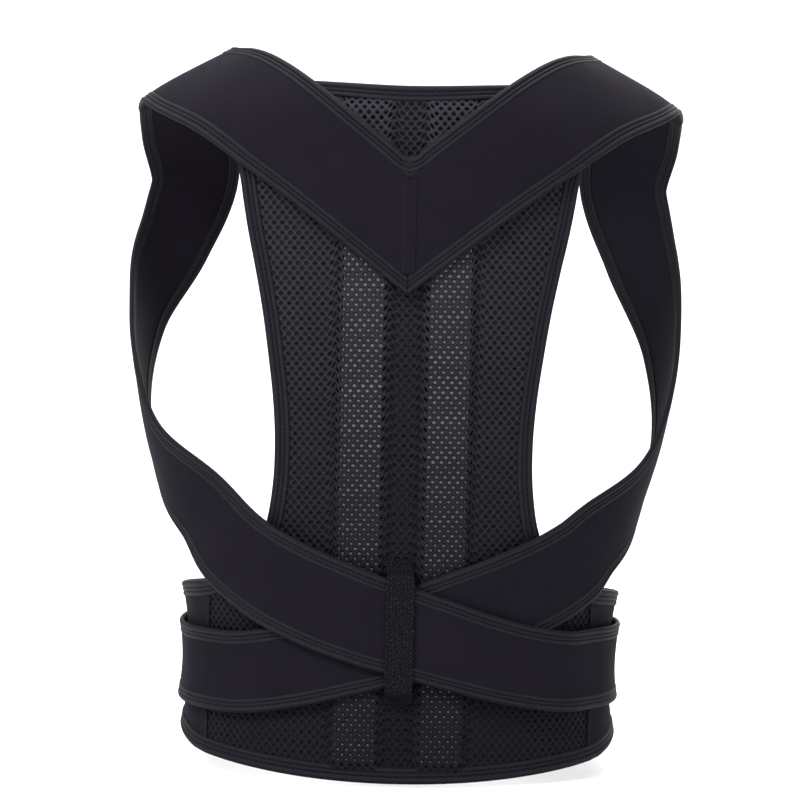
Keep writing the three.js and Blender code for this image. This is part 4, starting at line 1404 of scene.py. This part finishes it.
# %% Keeper loop
LOOP_WIDTH = 0.017
LOOP_WALL = 0.0012
LOOP = {
    "up": [-0.033, -0.024, -0.017, -0.002, 0.040, 0.075, 0.110, 0.135, 0.157, 0.169, 0.178],
    "layer": [0, 0, 0.68, 1, 1, 1, 1, 1, 1, 0, 0],
}
LOOP_LEAN = -0.0022
LOOP_RIB = 0.0021
LOOP_ROW = 0.0026


def herringbone(across, along):
    """Height of the weave, 0 to 1, as slanted ridges that turn at each rib."""
    rib = across / LOOP_RIB
    column = np.floor(rib)
    inside = rib - column
    slant = np.where(column % 2 == 0, inside, 1 - inside)
    drift = 0.16 * np.sin(along * 760.0 + column * 1.9) + 0.12 * np.sin(along * 310.0 + column * 2.7)
    ridge = 0.5 + 0.5 * np.cos(2 * math.pi * (along / LOOP_ROW + slant + drift))
    uneven = 0.82 + 0.18 * np.sin(along * 1450.0 + column * 4.1)
    return ridge * uneven * np.sin(math.pi * inside) ** 0.5


def keeper():
    rows, columns = 300, 65
    up = np.linspace(LOOP["up"][0], LOOP["up"][-1], rows)
    layer = np.interp(up, LOOP["up"], LOOP["layer"])
    seat = PANEL_TOP + GAP
    rise = strap_lift(2.0) + STRAP_WALL + GAP + TAPE + LAYER_GAP - seat
    under = seat + rise * smooth(layer, -0.05, 1.0)
    wobble = (0.00035 * np.sin(up * 190.0) + 0.00025 * np.sin(up * 430.0 + 1.0)
              + 0.00015 * np.sin(up * 1500.0))
    slant = LOOP_LEAN * smooth(up, LOOP["up"][-3], LOOP["up"][-1])[:, None]
    rounds = slant + np.linspace(-1, 1, columns) * (LOOP_WIDTH / 2 + wobble[:, None])
    grid = on_back(rounds, np.broadcast_to((up * BACK_HEIGHT)[:, None], rounds.shape))
    run = lengths(grid.lift(np.broadcast_to(under[:, None], rounds.shape))[:, 32:33], 0)
    weave = herringbone(rounds + LOOP_WIDTH, np.broadcast_to(run, rounds.shape))
    top = under[:, None] + LOOP_WALL * 0.5 + weave * 0.0010
    made = sheet_piece("keeper", grid, under[:, None], top, WOVEN_BAND, weave)
    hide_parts("keeper_loop")
    for row in (6, 12, 18, rows - 19, rows - 13, rows - 7):
        line = grid[row, 3:-3]
        sew("keeper_stitches", line.lift(top[row, 3:-3] + 0.0001), line.out,
            0.0016, 0.0013, 0.0003, 0.0004)
    return made, float(run[-1, 0])


keeper_band, keeper_length = keeper()
keeper_stitches = finish_stitches("keeper_stitches")
print("keeper length:", round(keeper_length, 3), "m")

# %% [markdown]
# ## Hook patches
# The belt closes in front on a hook patch between the wings, and each strap ends
# in a rounded tab of the same stuff that would grip the belt. None of them shows
# from behind, so they are plain, with the fine rows of hooks in their finish.

# %% Belt hook and hook tabs
HOOK_WALL = 0.0014
HOOK_WIDTH = 0.030
HOOK_REACH = 0.027
HOOK_SEAT = 0.030


def belt_patch():
    turns, heights = np.meshgrid(np.linspace(170, 190, 24), np.linspace(-0.06, 0.06, 20), indexing="ij")
    face = ring_spot(turns, heights * BACK_HEIGHT, 1)
    under = PANEL_TOP + GAP
    made = sheet_piece("belt_patch", face, under, under + HOOK_WALL, HOOK_PATCH)
    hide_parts("belt_hook")
    return made


def tab(name, face):
    middle = face[-1:, CLOTH_STEPS + TAPE_STEPS]
    before = face.p[-2, CLOTH_STEPS + TAPE_STEPS]
    ahead = unit(middle.p - before)
    here = middle.walk(-ahead, np.array([HOOK_SEAT]))
    rows, steps = [], 40
    length = HOOK_SEAT + HOOK_REACH
    up = np.array([[0.0, 0.0, 1.0]])
    for k in range(steps + 1):
        left = length * (1 - k / steps)
        round_end = min(left / (HOOK_WIDTH / 2), 1)
        half = HOOK_WIDTH / 2 * max(math.sqrt(1 - (1 - round_end) ** 2), 0.35)
        arms = [here.walk(up * way, np.array([half * share])) for way, share in
                ((1, 1), (1, 0.66), (1, 0.33))] + [here] + [
                here.walk(up * -1, np.array([half * share])) for share in (0.33, 0.66, 1)]
        rows.append(join(arms))
        way = np.cross(up, here.out) * np.sign(middle.p[0, 0])
        here = here.walk(way, np.array([length / steps]))
    grid = stack(rows, 0)
    under = PANEL_TOP + LAYER_GAP
    made = sheet_piece("tab_" + name, grid, under, under + HOOK_WALL, HOOK_PATCH)
    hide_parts("hook_tab_" + name)
    return made


belt_hook_patch = belt_patch()
strap_tabs = [tab("left", left_strap[2]), tab("right", right_strap[2])]
print("hook pieces:", 1 + len(strap_tabs))

# %% [markdown]
# ## Flat sheets
# Cloth is bought flat. No sheet and no size that it would be cut to is declared here, and nobody has cut
# one. The sizes are worked back from the finished pieces, with a few per cent of stretch assumed, so
# they describe the pieces and prove nothing about them.

print("no sheets declared")

# %% Measure and finish
total = sum(len(p.vertices) - 2 for made in made_pieces.values() for p in made.data.polygons)
print("pieces:", len(made_pieces), "triangles:", total)
